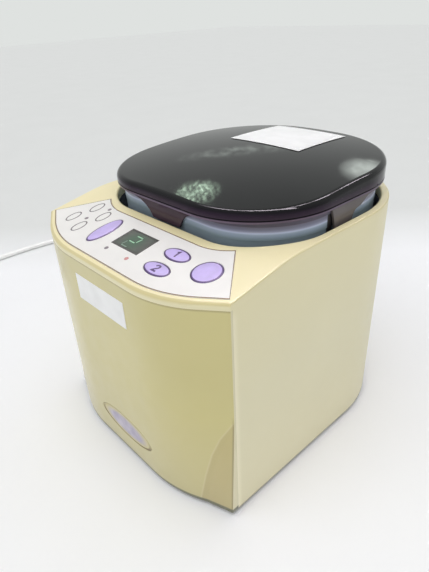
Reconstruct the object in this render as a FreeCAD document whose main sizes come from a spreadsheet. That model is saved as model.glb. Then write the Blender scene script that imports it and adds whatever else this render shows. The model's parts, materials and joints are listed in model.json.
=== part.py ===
import FreeCAD, Part
import math
import os
from types import SimpleNamespace

# Table-top yogurt maker: a heated casing with a bowed front and a sloping key panel,
# a lift-out container and a domed lid. Millimetres, +Z up, origin on the table under
# the middle of the casing, front towards -Y.

doc = FreeCAD.newDocument("yogurt_maker")

# Driving dimensions, kept in a sheet
SIZES = {
    # Casing in plan and in height
    "case_width": 200.0,
    "case_depth": 239.5,
    "wall": 2.5,
    "floor_gap": 3.0,
    "bow_flat_half": 35.0,
    "bow_radius": 100.0,
    "wing_angle": 29.0,
    "rear_corner_radius": 87.0,
    "seam_setback": 1.5,
    "rim_height": 178.8,
    "panel_angle": 10.87,
    "slope_run": 70.45,
    "crease_radius": 150.0,
    "flare_lean": 4.0,
    # Top of the housing
    "lip": 4.2,
    "lip_round": 2.4,
    "cover_plate": 3.0,
    "rim_width": 6.0,
    "deck_depth": 58.0,
    "well_front_radius": 51.0,
    "rim_round": 1.2,
    "well_round": 1.5,
    "collar_wall": 1.8,
    "collar_drop": 7.8,
    # Clearances
    "clearance": 0.3,
    "screw_clearance": 0.15,
    # Base plate, feet and posts
    "base_thickness": 2.5,
    "foot_radius": 9.0,
    "foot_plug_radius": 3.7,
    "foot_side_inset": 36.0,
    "foot_front_inset": 35.75,
    "foot_rear_inset": 41.75,
    "post_radius": 5.0,
    "post_side_inset": 22.0,
    "post_front_inset": 43.75,
    "post_rear_inset": 47.75,
    # Screws and the bosses that take them
    "screw_radius": 1.7,
    "screw_head_radius": 3.2,
    "screw_head_height": 1.6,
    "base_screw_length": 14.0,
    "board_screw_length": 7.0,
    "screw_hole_spare": 1.0,
    "boss_radius": 5.0,
    "boss_height": 20.0,
    "boss_sink": 0.8,
    "cover_boss_x": 70.0,
    "side_boss_setback": 12.0,
    "rear_boss_angle": 60.0,
    # Heating chamber
    "chamber_play": 0.5,
    "chamber_wall": 1.2,
    "chamber_depth": 136.0,
    "flange_reach": 3.0,
    "flange_thickness": 1.5,
    "gasket_height": 1.0,
    "gasket_width": 2.4,
    # Heater under the chamber
    "heater_plate_radius": 62.0,
    "heater_plate_thickness": 3.0,
    "element_outer_radius": 52.0,
    "element_inner_radius": 44.0,
    "element_height": 3.0,
    "pad_height": 5.0,
    "pan_radius": 66.0,
    "pan_wall": 1.0,
    "sensor_radius": 2.5,
    "sensor_tail": 5.0,
    "sensor_clip_size": 14.0,
    "sensor_clip_height": 2.0,
    "fuse_radius": 2.0,
    "fuse_length": 14.0,
    "fuse_block_length": 8.0,
    "fuse_block_width": 9.0,
    "fuse_block_height": 5.4,
    "fuse_x": 26.0,
    # Power electronics behind the bow
    "power_board_width": 104.0,
    "power_board_depth": 34.0,
    "power_board_setback": 9.5,
    "board_thickness": 1.6,
    "standoff_height": 7.0,
    "standoff_radius": 3.0,
    "standoff_inset": 4.0,
    "transformer_width": 34.0,
    "transformer_depth": 26.0,
    "transformer_height": 26.0,
    "transformer_x": -28.0,
    "relay_width": 20.0,
    "relay_depth": 16.0,
    "relay_height": 16.0,
    "relay_x": 16.0,
    "ribbon_width": 14.0,
    "ribbon_thickness": 1.2,
    "ribbon_x": 40.0,
    "terminal_width": 26.0,
    "terminal_depth": 12.0,
    "terminal_height": 12.0,
    "terminal_setback": 65.75,
    "lead_diameter": 6.0,
    "lead_end_z": 10.0,
    # Key panel, measured on the slope from the display's centre
    "panel_setback": 31.74,
    "panel_margin": 4.15,
    "panel_inner_margin": 7.8,
    "panel_inner_trim": 9.0,
    "panel_shoulder_inset": 32.0,
    "panel_end_inset": 3.0,
    "overlay_thickness": 0.6,
    "overlay_recess": 0.3,
    "window_width": 28.8,
    "window_depth": 19.0,
    "window_thickness": 1.6,
    "window_ledge": 2.0,
    "window_x": 1.7,
    "digits_height": 6.6,
    "key_proud": 0.5,
    "key_travel": 0.5,
    "key_rest_gap": 0.1,
    "key_flange": 1.2,
    "key_flange_height": 1.0,
    "key_stem_radius": 2.0,
    "round_key_radius": 9.75,
    "start_key_half_x": 11.0,
    "start_key_half_y": 5.75,
    "menu_key_half_x": 7.0,
    "menu_key_half_y": 15.0,
    "cancel_key_x": 68.9,
    "cancel_key_y": 2.9,
    "start_key_x": 39.9,
    "start_key_1_y": 4.8,
    "start_key_2_y": -11.5,
    "menu_key_x": -30.8,
    "menu_key_y": -2.7,
    "lamp_radius": 1.5,
    "state_lamp_x": 11.6,
    "state_lamp_y": -15.3,
    "program_lamp_x": -59.8,
    "program_lamp_y": -0.4,
    "program_lamp_step_x": 6.0,
    "program_lamp_step_y": 17.0,
    "board_below": 10.0,
    "board_left": -66.0,
    "board_right": 78.0,
    "board_front": -17.0,
    "board_rear": 19.0,
    "switch_size": 6.0,
    "switch_height": 2.6,
    "switch_button_radius": 1.7,
    "switch_button_height": 0.8,
    "board_boss_radius": 3.0,
    "board_boss_inset": 4.0,
    "board_boss_left_step": 18.0,
    "board_boss_right_step": 16.0,
    # Container
    "container_gap": 4.5,
    "container_front_radius": 52.0,
    "container_wall": 2.2,
    "container_floor": 2.5,
    "container_stand": 8.2,
    "container_bead": 0.5,
    "container_bead_height": 9.0,
    # Lid
    "lid_side_inset": 1.2,
    "lid_front_reach": 3.8,
    "lid_rear_reach": 0.2,
    "lid_front_radius": 62.0,
    "lid_rear_radius": 75.0,
    "lid_height": 17.8,
    "dome_radius": 850.0,
    "dome_shift": 35.2,
    "lid_edge_round": 4.0,
    "lid_flange": 1.2,
    "lid_groove": 0.8,
    "lid_groove_depth": 0.7,
    "lid_cavity": 8.0,
    "lid_gasket_height": 3.5,
    "lid_gasket_out": 0.7,
    "lid_gasket_in": 1.5,
    "tab_thickness": 1.6,
    "tab_gap": 2.0,
    "tab_root": 3.0,
    # Blank labels and the unmarked badge plate
    "label_thickness": 0.25,
    "front_label_width": 57.0,
    "front_label_height": 19.5,
    "front_label_z": 140.0,
    "lid_label_width": 70.0,
    "lid_label_depth": 60.0,
    "lid_label_x": -3.5,
    "lid_label_back": 46.7,
    "badge_half_width": 32.0,
    "badge_half_height": 10.0,
    "badge_x": 3.0,
    "badge_z": 28.0,
    "badge_thickness": 0.8,
    # Mains cord
    "cord_diameter": 6.6,
    "cord_floor_gap": 0.1,
    "bushing_z": 18.0,
    "bushing_length": 28.0,
    "bushing_root_radius": 7.0,
    "bushing_tip_wall": 1.2,
    "bushing_flange_radius": 9.0,
    "bushing_nut_radius": 8.0,
    "bushing_flange": 2.0,
    "bushing_neck_radius": 5.8,
    "coil_x": -380.0,
    "coil_y": -135.0,
    "coil_mid_radius": 33.0,
    "coil_pitch": 8.4,
    "coil_layer_turns": 1.375,
    "coil_layer_rise": 7.1,
    "coil_lift": 4.4,
    "coil_tail": 36.0,
    "tie_width": 5.0,
    "tie_thickness": 0.7,
    "plug_length": 30.0,
    "plug_width": 24.0,
    "plug_taper": 4.0,
    "blade_spacing": 12.7,
    "blade_length": 17.5,
    "blade_width": 6.3,
    "blade_thickness": 1.5,
}

sheet = doc.addObject("Spreadsheet::Sheet", "sizes")
for row, (alias, value) in enumerate(SIZES.items(), start=1):
    sheet.set(f"A{row}", alias.replace("_", " "))
    sheet.set(f"B{row}", str(value))
    sheet.setAlias(f"B{row}", alias)
doc.recompute()
dim = SimpleNamespace(**{alias: float(sheet.get(alias)) for alias in SIZES})

# Levels that several pieces share, as expressions on the sheet
COLLAR = "sizes.rim_height - sizes.collar_drop"
FLANGE_TOP = f"{COLLAR} - sizes.gasket_height"
CHAMBER_FLOOR = f"{FLANGE_TOP} - sizes.chamber_depth"
CHAMBER_UNDER = f"{CHAMBER_FLOOR} - sizes.chamber_wall"
CONTAINER_TOP = "sizes.rim_height + sizes.container_stand"
LID_BOTTOM = f"{CONTAINER_TOP} + sizes.lid_gasket_height"
TALL = "2 * sizes.rim_height"
KEY_SEAT = "-sizes.cover_plate - sizes.clearance"
SWITCH_TOP = "-sizes.board_below + sizes.switch_height + sizes.switch_button_height"
WINDOW_UNDER = "sizes.overlay_thickness - sizes.overlay_recess - sizes.window_thickness"
SCREW_HOLE = "sizes.screw_radius + sizes.screw_clearance"

# The same levels and places as numbers
slope = math.radians(dim.panel_angle)
front_y = -dim.case_depth / 2
rear_y = dim.case_depth / 2
crease_y = front_y + dim.slope_run
collar_z = dim.rim_height - dim.collar_drop
chamber_floor_z = collar_z - dim.gasket_height - dim.chamber_depth
chamber_under_z = chamber_floor_z - dim.chamber_wall
base_top_z = dim.floor_gap + dim.base_thickness
well_half = dim.case_width / 2 - dim.rim_width
well_front = front_y + dim.deck_depth
well_rear = rear_y - dim.rim_width
well_rear_radius = dim.rear_corner_radius - dim.rim_width
well_middle_y = (well_front + well_rear) / 2
lid_bottom_z = dim.rim_height + dim.container_stand + dim.lid_gasket_height
lid_top_z = lid_bottom_z + dim.lid_height
lid_half = well_half - dim.lid_side_inset
lid_front = well_front - dim.lid_front_reach
lid_rear = well_rear + dim.lid_rear_reach
lid_middle_y = (lid_front + lid_rear) / 2
dome_y = lid_middle_y + dim.dome_shift
plate_under_z = chamber_under_z - dim.heater_plate_thickness
element_under_z = plate_under_z - dim.element_height
pad_under_z = element_under_z - dim.pad_height
pan_under_z = pad_under_z - dim.pan_wall
board_z = base_top_z + dim.standoff_height
board_top_z = board_z + dim.board_thickness
panel_y = front_y + dim.panel_setback * math.cos(slope)
panel_z = dim.rim_height - (crease_y - panel_y) * math.tan(slope)
on_slope = FreeCAD.Placement(
    FreeCAD.Vector(0, panel_y, panel_z),
    FreeCAD.Rotation(FreeCAD.Vector(1, 0, 0), dim.panel_angle),
)
turn_to_rear = FreeCAD.Rotation(FreeCAD.Vector(1, 0, 0), -90)
screw_hole_radius = dim.screw_radius + dim.screw_clearance
cord_radius = dim.cord_diameter / 2


# Plane geometry


def point(x, y, z=0.0):
    return FreeCAD.Vector(x, y, z)


def line(start, end):
    return Part.LineSegment(point(*start), point(*end))


def arc(centre, radius, start_deg, end_deg):
    def at(degrees):
        angle = math.radians(degrees)
        return point(centre[0] + radius * math.cos(angle), centre[1] + radius * math.sin(angle))

    return Part.Arc(at(start_deg), at((start_deg + end_deg) / 2), at(end_deg))


def circle_loop(x, y, radius):
    return [Part.Circle(point(x, y), point(0, 0, 1), radius)]


def polygon_loop(corners):
    return [line(a, b) for a, b in zip(corners, corners[1:] + corners[:1])]


def box_loop(x0, y0, x1, y1):
    return polygon_loop([(x0, y0), (x1, y0), (x1, y1), (x0, y1)])


def ellipse_loop(x, y, half_x, half_y):
    middle = point(x, y)
    if half_x >= half_y:
        return [Part.Ellipse(point(x + half_x, y), point(x, y + half_y), middle)]
    return [Part.Ellipse(point(x, y + half_y), point(x - half_x, y), middle)]


def rounded_loop(half, front, rear, front_radius, rear_radius):
    """A rounded rectangle in plan, with one radius at the front and one at the rear."""
    front_c = half - front_radius
    rear_c = half - rear_radius
    front_cy = front + front_radius
    rear_cy = rear - rear_radius
    return [
        line((-front_c, front), (front_c, front)),
        arc((front_c, front_cy), front_radius, -90, 0),
        line((half, front_cy), (half, rear_cy)),
        arc((rear_c, rear_cy), rear_radius, 0, 90),
        line((rear_c, rear), (-rear_c, rear)),
        arc((-rear_c, rear_cy), rear_radius, 90, 180),
        line((-half, rear_cy), (-half, front_cy)),
        arc((-front_c, front_cy), front_radius, 180, 270),
    ]


def well_loop(grow):
    return rounded_loop(
        well_half + grow,
        well_front - grow,
        well_rear + grow,
        dim.well_front_radius + grow,
        well_rear_radius + grow,
    )


def container_loop(inset):
    gap = dim.container_gap + inset
    return rounded_loop(
        well_half - gap,
        well_front + gap,
        well_rear - gap,
        dim.container_front_radius - inset,
        well_rear_radius - gap,
    )


def lid_loop(inset):
    return rounded_loop(
        lid_half - inset,
        lid_front + inset,
        lid_rear - inset,
        dim.lid_front_radius - inset,
        dim.lid_rear_radius - inset,
    )


def bow_corner(inset):
    """The knee where the bow's shoulder turns straight, and the sharp corner at the side."""
    angle = math.radians(dim.wing_angle)
    radius = dim.bow_radius - inset
    knee_x = dim.bow_flat_half + radius * math.sin(angle)
    knee_y = front_y + dim.bow_radius - radius * math.cos(angle)
    corner_x = dim.case_width / 2 - inset
    corner_y = knee_y + (corner_x - knee_x) * math.tan(angle)
    return knee_x, knee_y, corner_x, corner_y


def bow_y_at(x):
    """The bow's outer face in front of a point beyond its flat middle."""
    knee_x, knee_y, _, _ = bow_corner(0.0)
    if x > knee_x:
        return knee_y + (x - knee_x) * math.tan(math.radians(dim.wing_angle))
    beyond_flat = x - dim.bow_flat_half
    return front_y + dim.bow_radius - math.sqrt(dim.bow_radius**2 - beyond_flat**2)


def case_loop(inset):
    """The casing's outline in plan, moved in from the outer face."""
    knee_x, knee_y, half, corner_y = bow_corner(inset)
    front = front_y + inset
    rear = rear_y - inset
    flat = dim.bow_flat_half
    bow = dim.bow_radius - inset
    bow_y = front_y + dim.bow_radius
    corner = dim.rear_corner_radius - inset
    side_end = rear - corner
    return [
        line((-flat, front), (flat, front)),
        arc((flat, bow_y), bow, -90, -90 + dim.wing_angle),
        line((knee_x, knee_y), (half, corner_y)),
        line((half, corner_y), (half, side_end)),
        arc((half - corner, side_end), corner, 0, 90),
        line((half - corner, rear), (corner - half, rear)),
        arc((corner - half, side_end), corner, 90, 180),
        line((-half, side_end), (-half, corner_y)),
        line((-half, corner_y), (-knee_x, knee_y)),
        arc((-flat, bow_y), bow, -90 - dim.wing_angle, -90),
    ]


def panel_loop(grow):
    """The key panel's outline on the slope, measured from the display's centre."""
    angle = math.radians(dim.wing_angle)
    radius = dim.bow_radius - dim.panel_margin + grow
    outer_y = (front_y + dim.panel_margin - panel_y) / math.cos(slope) - grow
    flat = dim.bow_flat_half
    centre_y = outer_y + radius
    knee = (flat + radius * math.sin(angle), centre_y - radius * math.cos(angle))
    end_x = dim.case_width / 2 - dim.panel_end_inset + grow
    end_y = knee[1] + (end_x - knee[0]) * math.tan(angle)
    inner_half = well_half - dim.well_front_radius
    inner_y = (well_front - panel_y) / math.cos(slope) - dim.panel_inner_margin + grow
    inner_radius = dim.well_front_radius - dim.panel_inner_trim - grow
    inner_cy = inner_y + inner_radius
    shoulder_x = dim.case_width / 2 - dim.panel_shoulder_inset
    reach = shoulder_x - inner_half
    lean = math.degrees(math.asin(reach / inner_radius))
    shoulder_y = inner_cy - math.sqrt(inner_radius**2 - reach**2)
    return [
        line((-flat, outer_y), (flat, outer_y)),
        arc((flat, centre_y), radius, -90, -90 + dim.wing_angle),
        line(knee, (end_x, end_y)),
        line((end_x, end_y), (shoulder_x, shoulder_y)),
        arc((inner_half, inner_cy), inner_radius, -90 + lean, -90),
        line((inner_half, inner_y), (-inner_half, inner_y)),
        arc((-inner_half, inner_cy), inner_radius, -90, -90 - lean),
        line((-shoulder_x, shoulder_y), (-end_x, end_y)),
        line((-end_x, end_y), (-knee[0], knee[1])),
        arc((-flat, centre_y), radius, -90 - dim.wing_angle, -90),
    ]


# Document helpers


def origin_plane(body, role):
    return next(f for f in body.Origin.OriginFeatures if f.Role == role)


def add_sketch(body, loops, role, offset):
    sketch = body.newObject("Sketcher::SketchObject", f"{body.Name}_sketch")
    sketch.AttachmentSupport = (origin_plane(body, role), [""])
    sketch.MapMode = "FlatFace"
    sketch.setExpression("AttachmentOffset.Base.z", offset)
    for loop in loops:
        for curve in loop:
            sketch.addGeometry(curve, False)
    return sketch


def add_pad(body, loops, bottom, height, role="XY_Plane", both_ways=False):
    pad = body.newObject("PartDesign::Pad", f"{body.Name}_pad")
    pad.Profile = add_sketch(body, loops, role, bottom)
    pad.setExpression("Length", height)
    pad.Midplane = both_ways
    body.Tip = pad


def add_pocket(body, loops, bottom, height):
    """Cuts the loops away from bottom up by height."""
    pocket = body.newObject("PartDesign::Pocket", f"{body.Name}_pocket")
    pocket.Profile = add_sketch(body, loops, "XY_Plane", f"{bottom} + {height}")
    pocket.setExpression("Length", height)
    body.Tip = pocket


def prism(name, loops, bottom, height, role="XY_Plane", both_ways=False):
    body = doc.addObject("PartDesign::Body", name)
    add_pad(body, loops, bottom, height, role, both_ways)
    return body


def cylinder(name, x, y, z, radius, height):
    shape = doc.addObject("Part::Cylinder", name)
    shape.setExpression("Radius", radius)
    shape.setExpression("Height", height)
    shape.Placement.Base = point(x, y, z)
    return shape


def block(name, width, depth, height, x, y, z):
    """A box on the point (x, y, z) under its middle."""
    shape = doc.addObject("Part::Box", name)
    shape.setExpression("Length", width)
    shape.setExpression("Width", depth)
    shape.setExpression("Height", height)
    doc.recompute([shape])
    shape.Placement.Base = point(x - shape.Length.Value / 2, y - shape.Width.Value / 2, z)
    return shape


def fuse(name, shapes):
    joined = doc.addObject("Part::MultiFuse", name)
    joined.Shapes = shapes
    joined.Refine = True
    return joined


def cut(name, base, tool):
    result = doc.addObject("Part::Cut", name)
    result.Base = base
    result.Tool = tool
    return result


def common(name, shapes):
    result = doc.addObject("Part::MultiCommon", name)
    result.Shapes = shapes
    return result


def group(name, shapes):
    result = doc.addObject("Part::Compound", name)
    result.Links = shapes
    return result


def round_edges(name, base, radius_of):
    """Rounds each edge of base by the radius that the function gives for it, if any."""
    rounded = doc.addObject("Part::Fillet", name)
    rounded.Base = base
    doc.recompute()
    radii = [(index, radius_of(edge)) for index, edge in enumerate(base.Shape.Edges, start=1)]
    rounded.Edges = [(index, radius, radius) for index, radius in radii if radius]
    return rounded


def feature(name, shape):
    piece = doc.addObject("Part::Feature", name)
    piece.Shape = shape
    return piece


nodes = []


def node(shape):
    """Marks an object of the document as one piece of the yogurt maker."""
    nodes.append(shape)
    return shape


def under_deck(name, drop):
    """Everything below the top deck: the sloping panel deck, then the level rim."""
    run = dim.crease_radius * math.tan(slope / 2)
    sag = dim.crease_radius / math.cos(slope / 2) - dim.crease_radius
    reach = dim.case_depth
    level = dim.rim_height - drop
    before = (crease_y - run * math.cos(slope), level - run * math.sin(slope))
    middle = (crease_y + sag * math.sin(slope / 2), level - sag * math.cos(slope / 2))
    after = (crease_y + run, level)
    toe = (crease_y - reach, level - reach * math.tan(slope))
    heel = (crease_y + reach, level)
    loop = [
        line(toe, before),
        Part.Arc(point(*before), point(*middle), point(*after)),
        line(after, heel),
        line(heel, (heel[0], -reach)),
        line((heel[0], -reach), (toe[0], -reach)),
        line((toe[0], -reach), toe),
    ]
    return prism(name, [loop], "0", "2 * sizes.case_width", "YZ_Plane", True)


def screws(name, places, length):
    """Round-headed screws pointing up: each has its head's seat at its place."""
    pieces = []
    for index, (x, y, z) in enumerate(places):
        head = cylinder(
            f"{name}_head_{index}",
            x,
            y,
            z - dim.screw_head_height,
            "sizes.screw_head_radius",
            "sizes.screw_head_height",
        )
        shank = cylinder(f"{name}_shank_{index}", x, y, z, "sizes.screw_radius", length)
        pieces.append(fuse(f"{name}_{index}", [head, shank]))
    return group(name, pieces)


# Front cover: the bowed wall from corner to corner, under the housing's lip

corner_x, corner_y = bow_corner(0.0)[2:]
seam_y = corner_y + dim.seam_setback
inner_half = dim.case_width / 2 - dim.wall
below_lip = under_deck("deck_below_lip", dim.lip)
ring_loops = [case_loop(0.0), case_loop(dim.wall)]
wide = dim.case_width
deep = dim.case_depth

# The crease of the facet at a lower front corner: height over the foot, distance in from the corner
flare_line = [(0.0, 23.3), (28.0, 18.4), (49.0, 13.8), (65.0, 8.5), (81.0, 0.6)]


def front_flare(name, side):
    """The facet at a lower front corner, leaning out towards the foot of the edge."""
    body = doc.addObject("PartDesign::Body", name)
    sink = dim.wall / 4
    top = flare_line[-1][0]
    sections = []
    for height, width in flare_line:
        lean = dim.flare_lean * (1 - height / top)
        crease_x = corner_x - width
        corners = [
            (side * crease_x, bow_y_at(crease_x) + sink),
            (side * corner_x, corner_y - lean),
            (side * corner_x, seam_y),
            (side * (corner_x - min(width, dim.wall)), seam_y),
        ]
        level = f"sizes.floor_gap + {height}"
        sections.append(add_sketch(body, [polygon_loop(corners)], "XY_Plane", level))
    loft = body.newObject("PartDesign::AdditiveLoft", f"{name}_loft")
    loft.Profile = sections[0]
    loft.Sections = sections[1:]
    loft.Ruled = True
    body.Tip = loft
    return body


def base_boss(name, x, y):
    return cylinder(name, x, y, base_top_z, "sizes.boss_radius", "sizes.boss_height")


def base_boss_hole(name, x, y):
    depth = "sizes.base_screw_length + sizes.screw_hole_spare"
    return cylinder(name, x, y, base_top_z, SCREW_HOLE, depth)


boss_inset = dim.boss_radius - dim.boss_sink
cover_boss_y = bow_y_at(dim.cover_boss_x) + dim.wall + boss_inset
cover_boss_places = [(side * dim.cover_boss_x, cover_boss_y) for side in (1, -1)]
front_ring = prism("front_ring", ring_loops, "sizes.floor_gap", "sizes.rim_height")
add_pocket(front_ring, [box_loop(-wide, seam_y, wide, deep)], "0", TALL)
front_trim = common("front_trim", [front_ring, below_lip])
front_solids = [front_trim, front_flare("flare_right", 1), front_flare("flare_left", -1)]
front_cuts = []
for i, (x, y) in enumerate(cover_boss_places):
    front_solids.append(base_boss(f"cover_boss_{i}", x, y))
    front_cuts.append(base_boss_hole(f"cover_boss_hole_{i}", x, y))

# The badge plate lies flush in an oval recess low on the bow
badge_halves = (dim.badge_half_width, dim.badge_half_height)
recess_halves = [half + dim.clearance for half in badge_halves]
badge_loop = ellipse_loop(dim.badge_x, dim.badge_z, *badge_halves)
recess_loop = ellipse_loop(dim.badge_x, dim.badge_z, *recess_halves)
badge_recess = prism("badge_recess", [recess_loop], "0", "2 * sizes.badge_thickness", "XZ_Plane")
badge_recess.Placement.Base = point(0, front_y + dim.badge_thickness, 0)
front_cuts.append(badge_recess)
node(cut("front_cover", fuse("front_solid", front_solids), fuse("front_cuts", front_cuts)))
badge = prism("front_badge", [badge_loop], "0", "sizes.badge_thickness", "XZ_Plane")
badge.Placement.Base = point(0, front_y + dim.badge_thickness, 0)
node(badge)

# Side and rear walls of the housing, with bosses for the base screws sunk a little into them
rear_ring = prism("rear_ring", ring_loops, "sizes.floor_gap", "sizes.rim_height")
add_pocket(rear_ring, [box_loop(-wide, -deep, wide, seam_y)], "0", TALL)
rear_trim = common("rear_trim", [rear_ring, below_lip])
rear_angle = math.radians(dim.rear_boss_angle)
rear_boss_run = dim.rear_corner_radius - dim.wall - boss_inset
rear_arc_x = dim.case_width / 2 - dim.rear_corner_radius
rear_arc_y = rear_y - dim.rear_corner_radius
boss_spots = [
    (inner_half - boss_inset, seam_y + dim.side_boss_setback),
    (
        rear_arc_x + rear_boss_run * math.cos(rear_angle),
        rear_arc_y + rear_boss_run * math.sin(rear_angle),
    ),
]
boss_places = [(side * x, y) for x, y in boss_spots for side in (1, -1)]
housing_solids = [rear_trim]
housing_cuts = []
for i, (x, y) in enumerate(boss_places):
    housing_solids.append(base_boss(f"base_boss_{i}", x, y))
    housing_cuts.append(base_boss_hole(f"base_boss_hole_{i}", x, y))


def on_cord_axis(name, y, radius, length):
    """A cylinder on the line along which the cord leaves the rear wall."""
    rod = cylinder(name, 0, y, dim.bushing_z, radius, length)
    rod.Placement.Rotation = turn_to_rear
    return rod


neck_hole = "sizes.bushing_neck_radius + sizes.screw_clearance"
hole_start = rear_y - 2 * dim.wall
housing_cuts.append(on_cord_axis("bushing_hole", hole_start, neck_hole, "4 * sizes.wall"))

# Base plate with foot holes, screw holes, posts for the chamber and board standoffs
foot_x = dim.case_width / 2 - dim.foot_side_inset
foot_ys = (front_y + dim.foot_front_inset, rear_y - dim.foot_rear_inset)
post_x = well_half - dim.post_side_inset
post_ys = (well_front + dim.post_front_inset, well_rear - dim.post_rear_inset)
foot_places = [(side * foot_x, y) for y in foot_ys for side in (1, -1)]
post_places = [(side * post_x, y) for y in post_ys for side in (1, -1)]
power_y = front_y + dim.wall + dim.power_board_setback + dim.power_board_depth / 2
standoff_x = dim.power_board_width / 2 - dim.standoff_inset
standoff_y = dim.power_board_depth / 2 - dim.standoff_inset
standoff_places = [(i * standoff_x, power_y + j * standoff_y) for i in (1, -1) for j in (1, -1)]
base_outline = case_loop(dim.wall + dim.clearance)
base = prism("base_plate", [base_outline], "sizes.floor_gap", "sizes.base_thickness")
post_loops = [circle_loop(x, y, dim.post_radius) for x, y in post_places]
add_pad(base, post_loops, "sizes.floor_gap", f"{CHAMBER_UNDER} - sizes.floor_gap")
standoff_loops = [circle_loop(x, y, dim.standoff_radius) for x, y in standoff_places]
add_pad(base, standoff_loops, "sizes.floor_gap", "sizes.base_thickness + sizes.standoff_height")
base_holes = [circle_loop(x, y, dim.foot_plug_radius + dim.clearance) for x, y in foot_places]
base_screw_places = boss_places + cover_boss_places
base_holes += [circle_loop(x, y, screw_hole_radius) for x, y in base_screw_places]
add_pocket(base, base_holes, "0", "sizes.floor_gap + 2 * sizes.base_thickness")
node(base)

feet = []
plug_height = "sizes.floor_gap + sizes.base_thickness"
for i, (x, y) in enumerate(foot_places):
    pad = cylinder(f"foot_pad_{i}", x, y, 0, "sizes.foot_radius", "sizes.floor_gap")
    plug = cylinder(f"foot_plug_{i}", x, y, 0, "sizes.foot_plug_radius", plug_height)
    feet.append(fuse(f"foot_{i}", [pad, plug]))
node(group("rubber_feet", feet))
base_seats = [(x, y, dim.floor_gap) for x, y in base_screw_places]
node(screws("base_screws", base_seats, "sizes.base_thickness + sizes.base_screw_length"))

# Key panel layout on the slope
key_places = {
    "key_cancel": (dim.cancel_key_x, dim.cancel_key_y),
    "key_start_1": (dim.start_key_x, dim.start_key_1_y),
    "key_start_2": (dim.start_key_x, dim.start_key_2_y),
    "key_menu": (dim.menu_key_x, dim.menu_key_y),
}
key_halves = {
    "key_cancel": (dim.round_key_radius, dim.round_key_radius),
    "key_start_1": (dim.start_key_half_x, dim.start_key_half_y),
    "key_start_2": (dim.start_key_half_x, dim.start_key_half_y),
    "key_menu": (dim.menu_key_half_x, dim.menu_key_half_y),
}
lamp_places = [
    (dim.window_x - dim.state_lamp_x, dim.state_lamp_y),
    (dim.window_x + dim.state_lamp_x, dim.state_lamp_y),
    (dim.program_lamp_x, dim.program_lamp_y),
    (
        dim.program_lamp_x + dim.program_lamp_step_x,
        dim.program_lamp_y + dim.program_lamp_step_y,
    ),
]
boss_left = dim.board_left + dim.board_boss_inset
boss_right = dim.board_right - dim.board_boss_inset
boss_front = dim.board_front + dim.board_boss_inset
boss_back = dim.board_rear - dim.board_boss_inset
board_boss_places = [
    (boss_left, boss_front),
    (boss_left + dim.board_boss_left_step, boss_back),
    (boss_right - dim.board_boss_right_step, boss_front),
    (boss_right - dim.board_boss_right_step, boss_back),
]


def key_loop(name, grow):
    x, y = key_places[name]
    half_x, half_y = key_halves[name]
    if half_x == half_y:
        return circle_loop(x, y, half_x + grow)
    return ellipse_loop(x, y, half_x + grow, half_y + grow)


def window_loop(grow):
    half_x = dim.window_width / 2 + grow
    half_y = dim.window_depth / 2 + grow
    return box_loop(dim.window_x - half_x, -half_y, dim.window_x + half_x, half_y)


def lamp_loops(grow):
    return [circle_loop(x, y, dim.lamp_radius + grow) for x, y in lamp_places]


def slope_prism(name, loops, bottom, height):
    body = prism(name, loops, bottom, height)
    body.Placement = on_slope
    return body


# Top of the housing: a deck plate with a lip over the front cover, a collar round the well,
# a recess for the key panel, and the openings in it
half_clearance = dim.clearance / 2
deck_top = under_deck("deck_top", 0.0)
deck_block = prism("deck_block", [case_loop(0.0)], "0", TALL)
deck_slab = common("deck_slab", [deck_block, deck_top])
lip_slab = cut("lip_slab", deck_slab, under_deck("deck_below_slab", dim.lip))
hollow_block = prism("hollow_block", [case_loop(dim.wall)], "0", TALL)
hollow_deck = under_deck("deck_plate", dim.cover_plate)
hollow = common("housing_hollow", [hollow_block, hollow_deck])
collar_block = prism("collar_block", [well_loop(dim.collar_wall)], COLLAR, TALL)
housing_solids += [
    cut("deck_shell", lip_slab, hollow),
    common("collar_ring", [collar_block, deck_top]),
]
for i, (x, y) in enumerate(board_boss_places):
    boss_loop = circle_loop(x, y, dim.board_boss_radius)
    boss_rise = "sizes.board_below - sizes.cover_plate / 2"
    boss = slope_prism(f"board_boss_{i}", [boss_loop], "-sizes.board_below", boss_rise)
    housing_solids.append(boss)

screw_loops = [circle_loop(x, y, screw_hole_radius) for x, y in board_boss_places]
through_loops = [key_loop(name, dim.clearance) for name in key_places]
through_loops.append(window_loop(-dim.window_ledge))
through_loops += lamp_loops(half_clearance)
through = ("-2 * sizes.cover_plate", "3 * sizes.cover_plate")
recess = [panel_loop(half_clearance)]
seat = [window_loop(half_clearance)]
board_hole = "sizes.board_screw_length - sizes.board_thickness + sizes.screw_hole_spare / 2"
housing_cuts += [
    prism("well_cut", [well_loop(0.0)], "0", TALL),
    slope_prism("panel_recess", recess, "-sizes.overlay_recess", "sizes.lip"),
    slope_prism("panel_openings", through_loops, *through),
    slope_prism("window_seat", seat, WINDOW_UNDER, "sizes.lip"),
    slope_prism("board_screw_holes", screw_loops, "-sizes.board_below", board_hole),
]
housing_solid = fuse("housing_solid", housing_solids)
housing_sharp = cut("housing_sharp", housing_solid, fuse("housing_cuts", housing_cuts))
well_line = Part.Wire([curve.toShape() for curve in well_loop(0.0)])
case_line = Part.Wire([curve.toShape() for curve in case_loop(0.0)])


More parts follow.
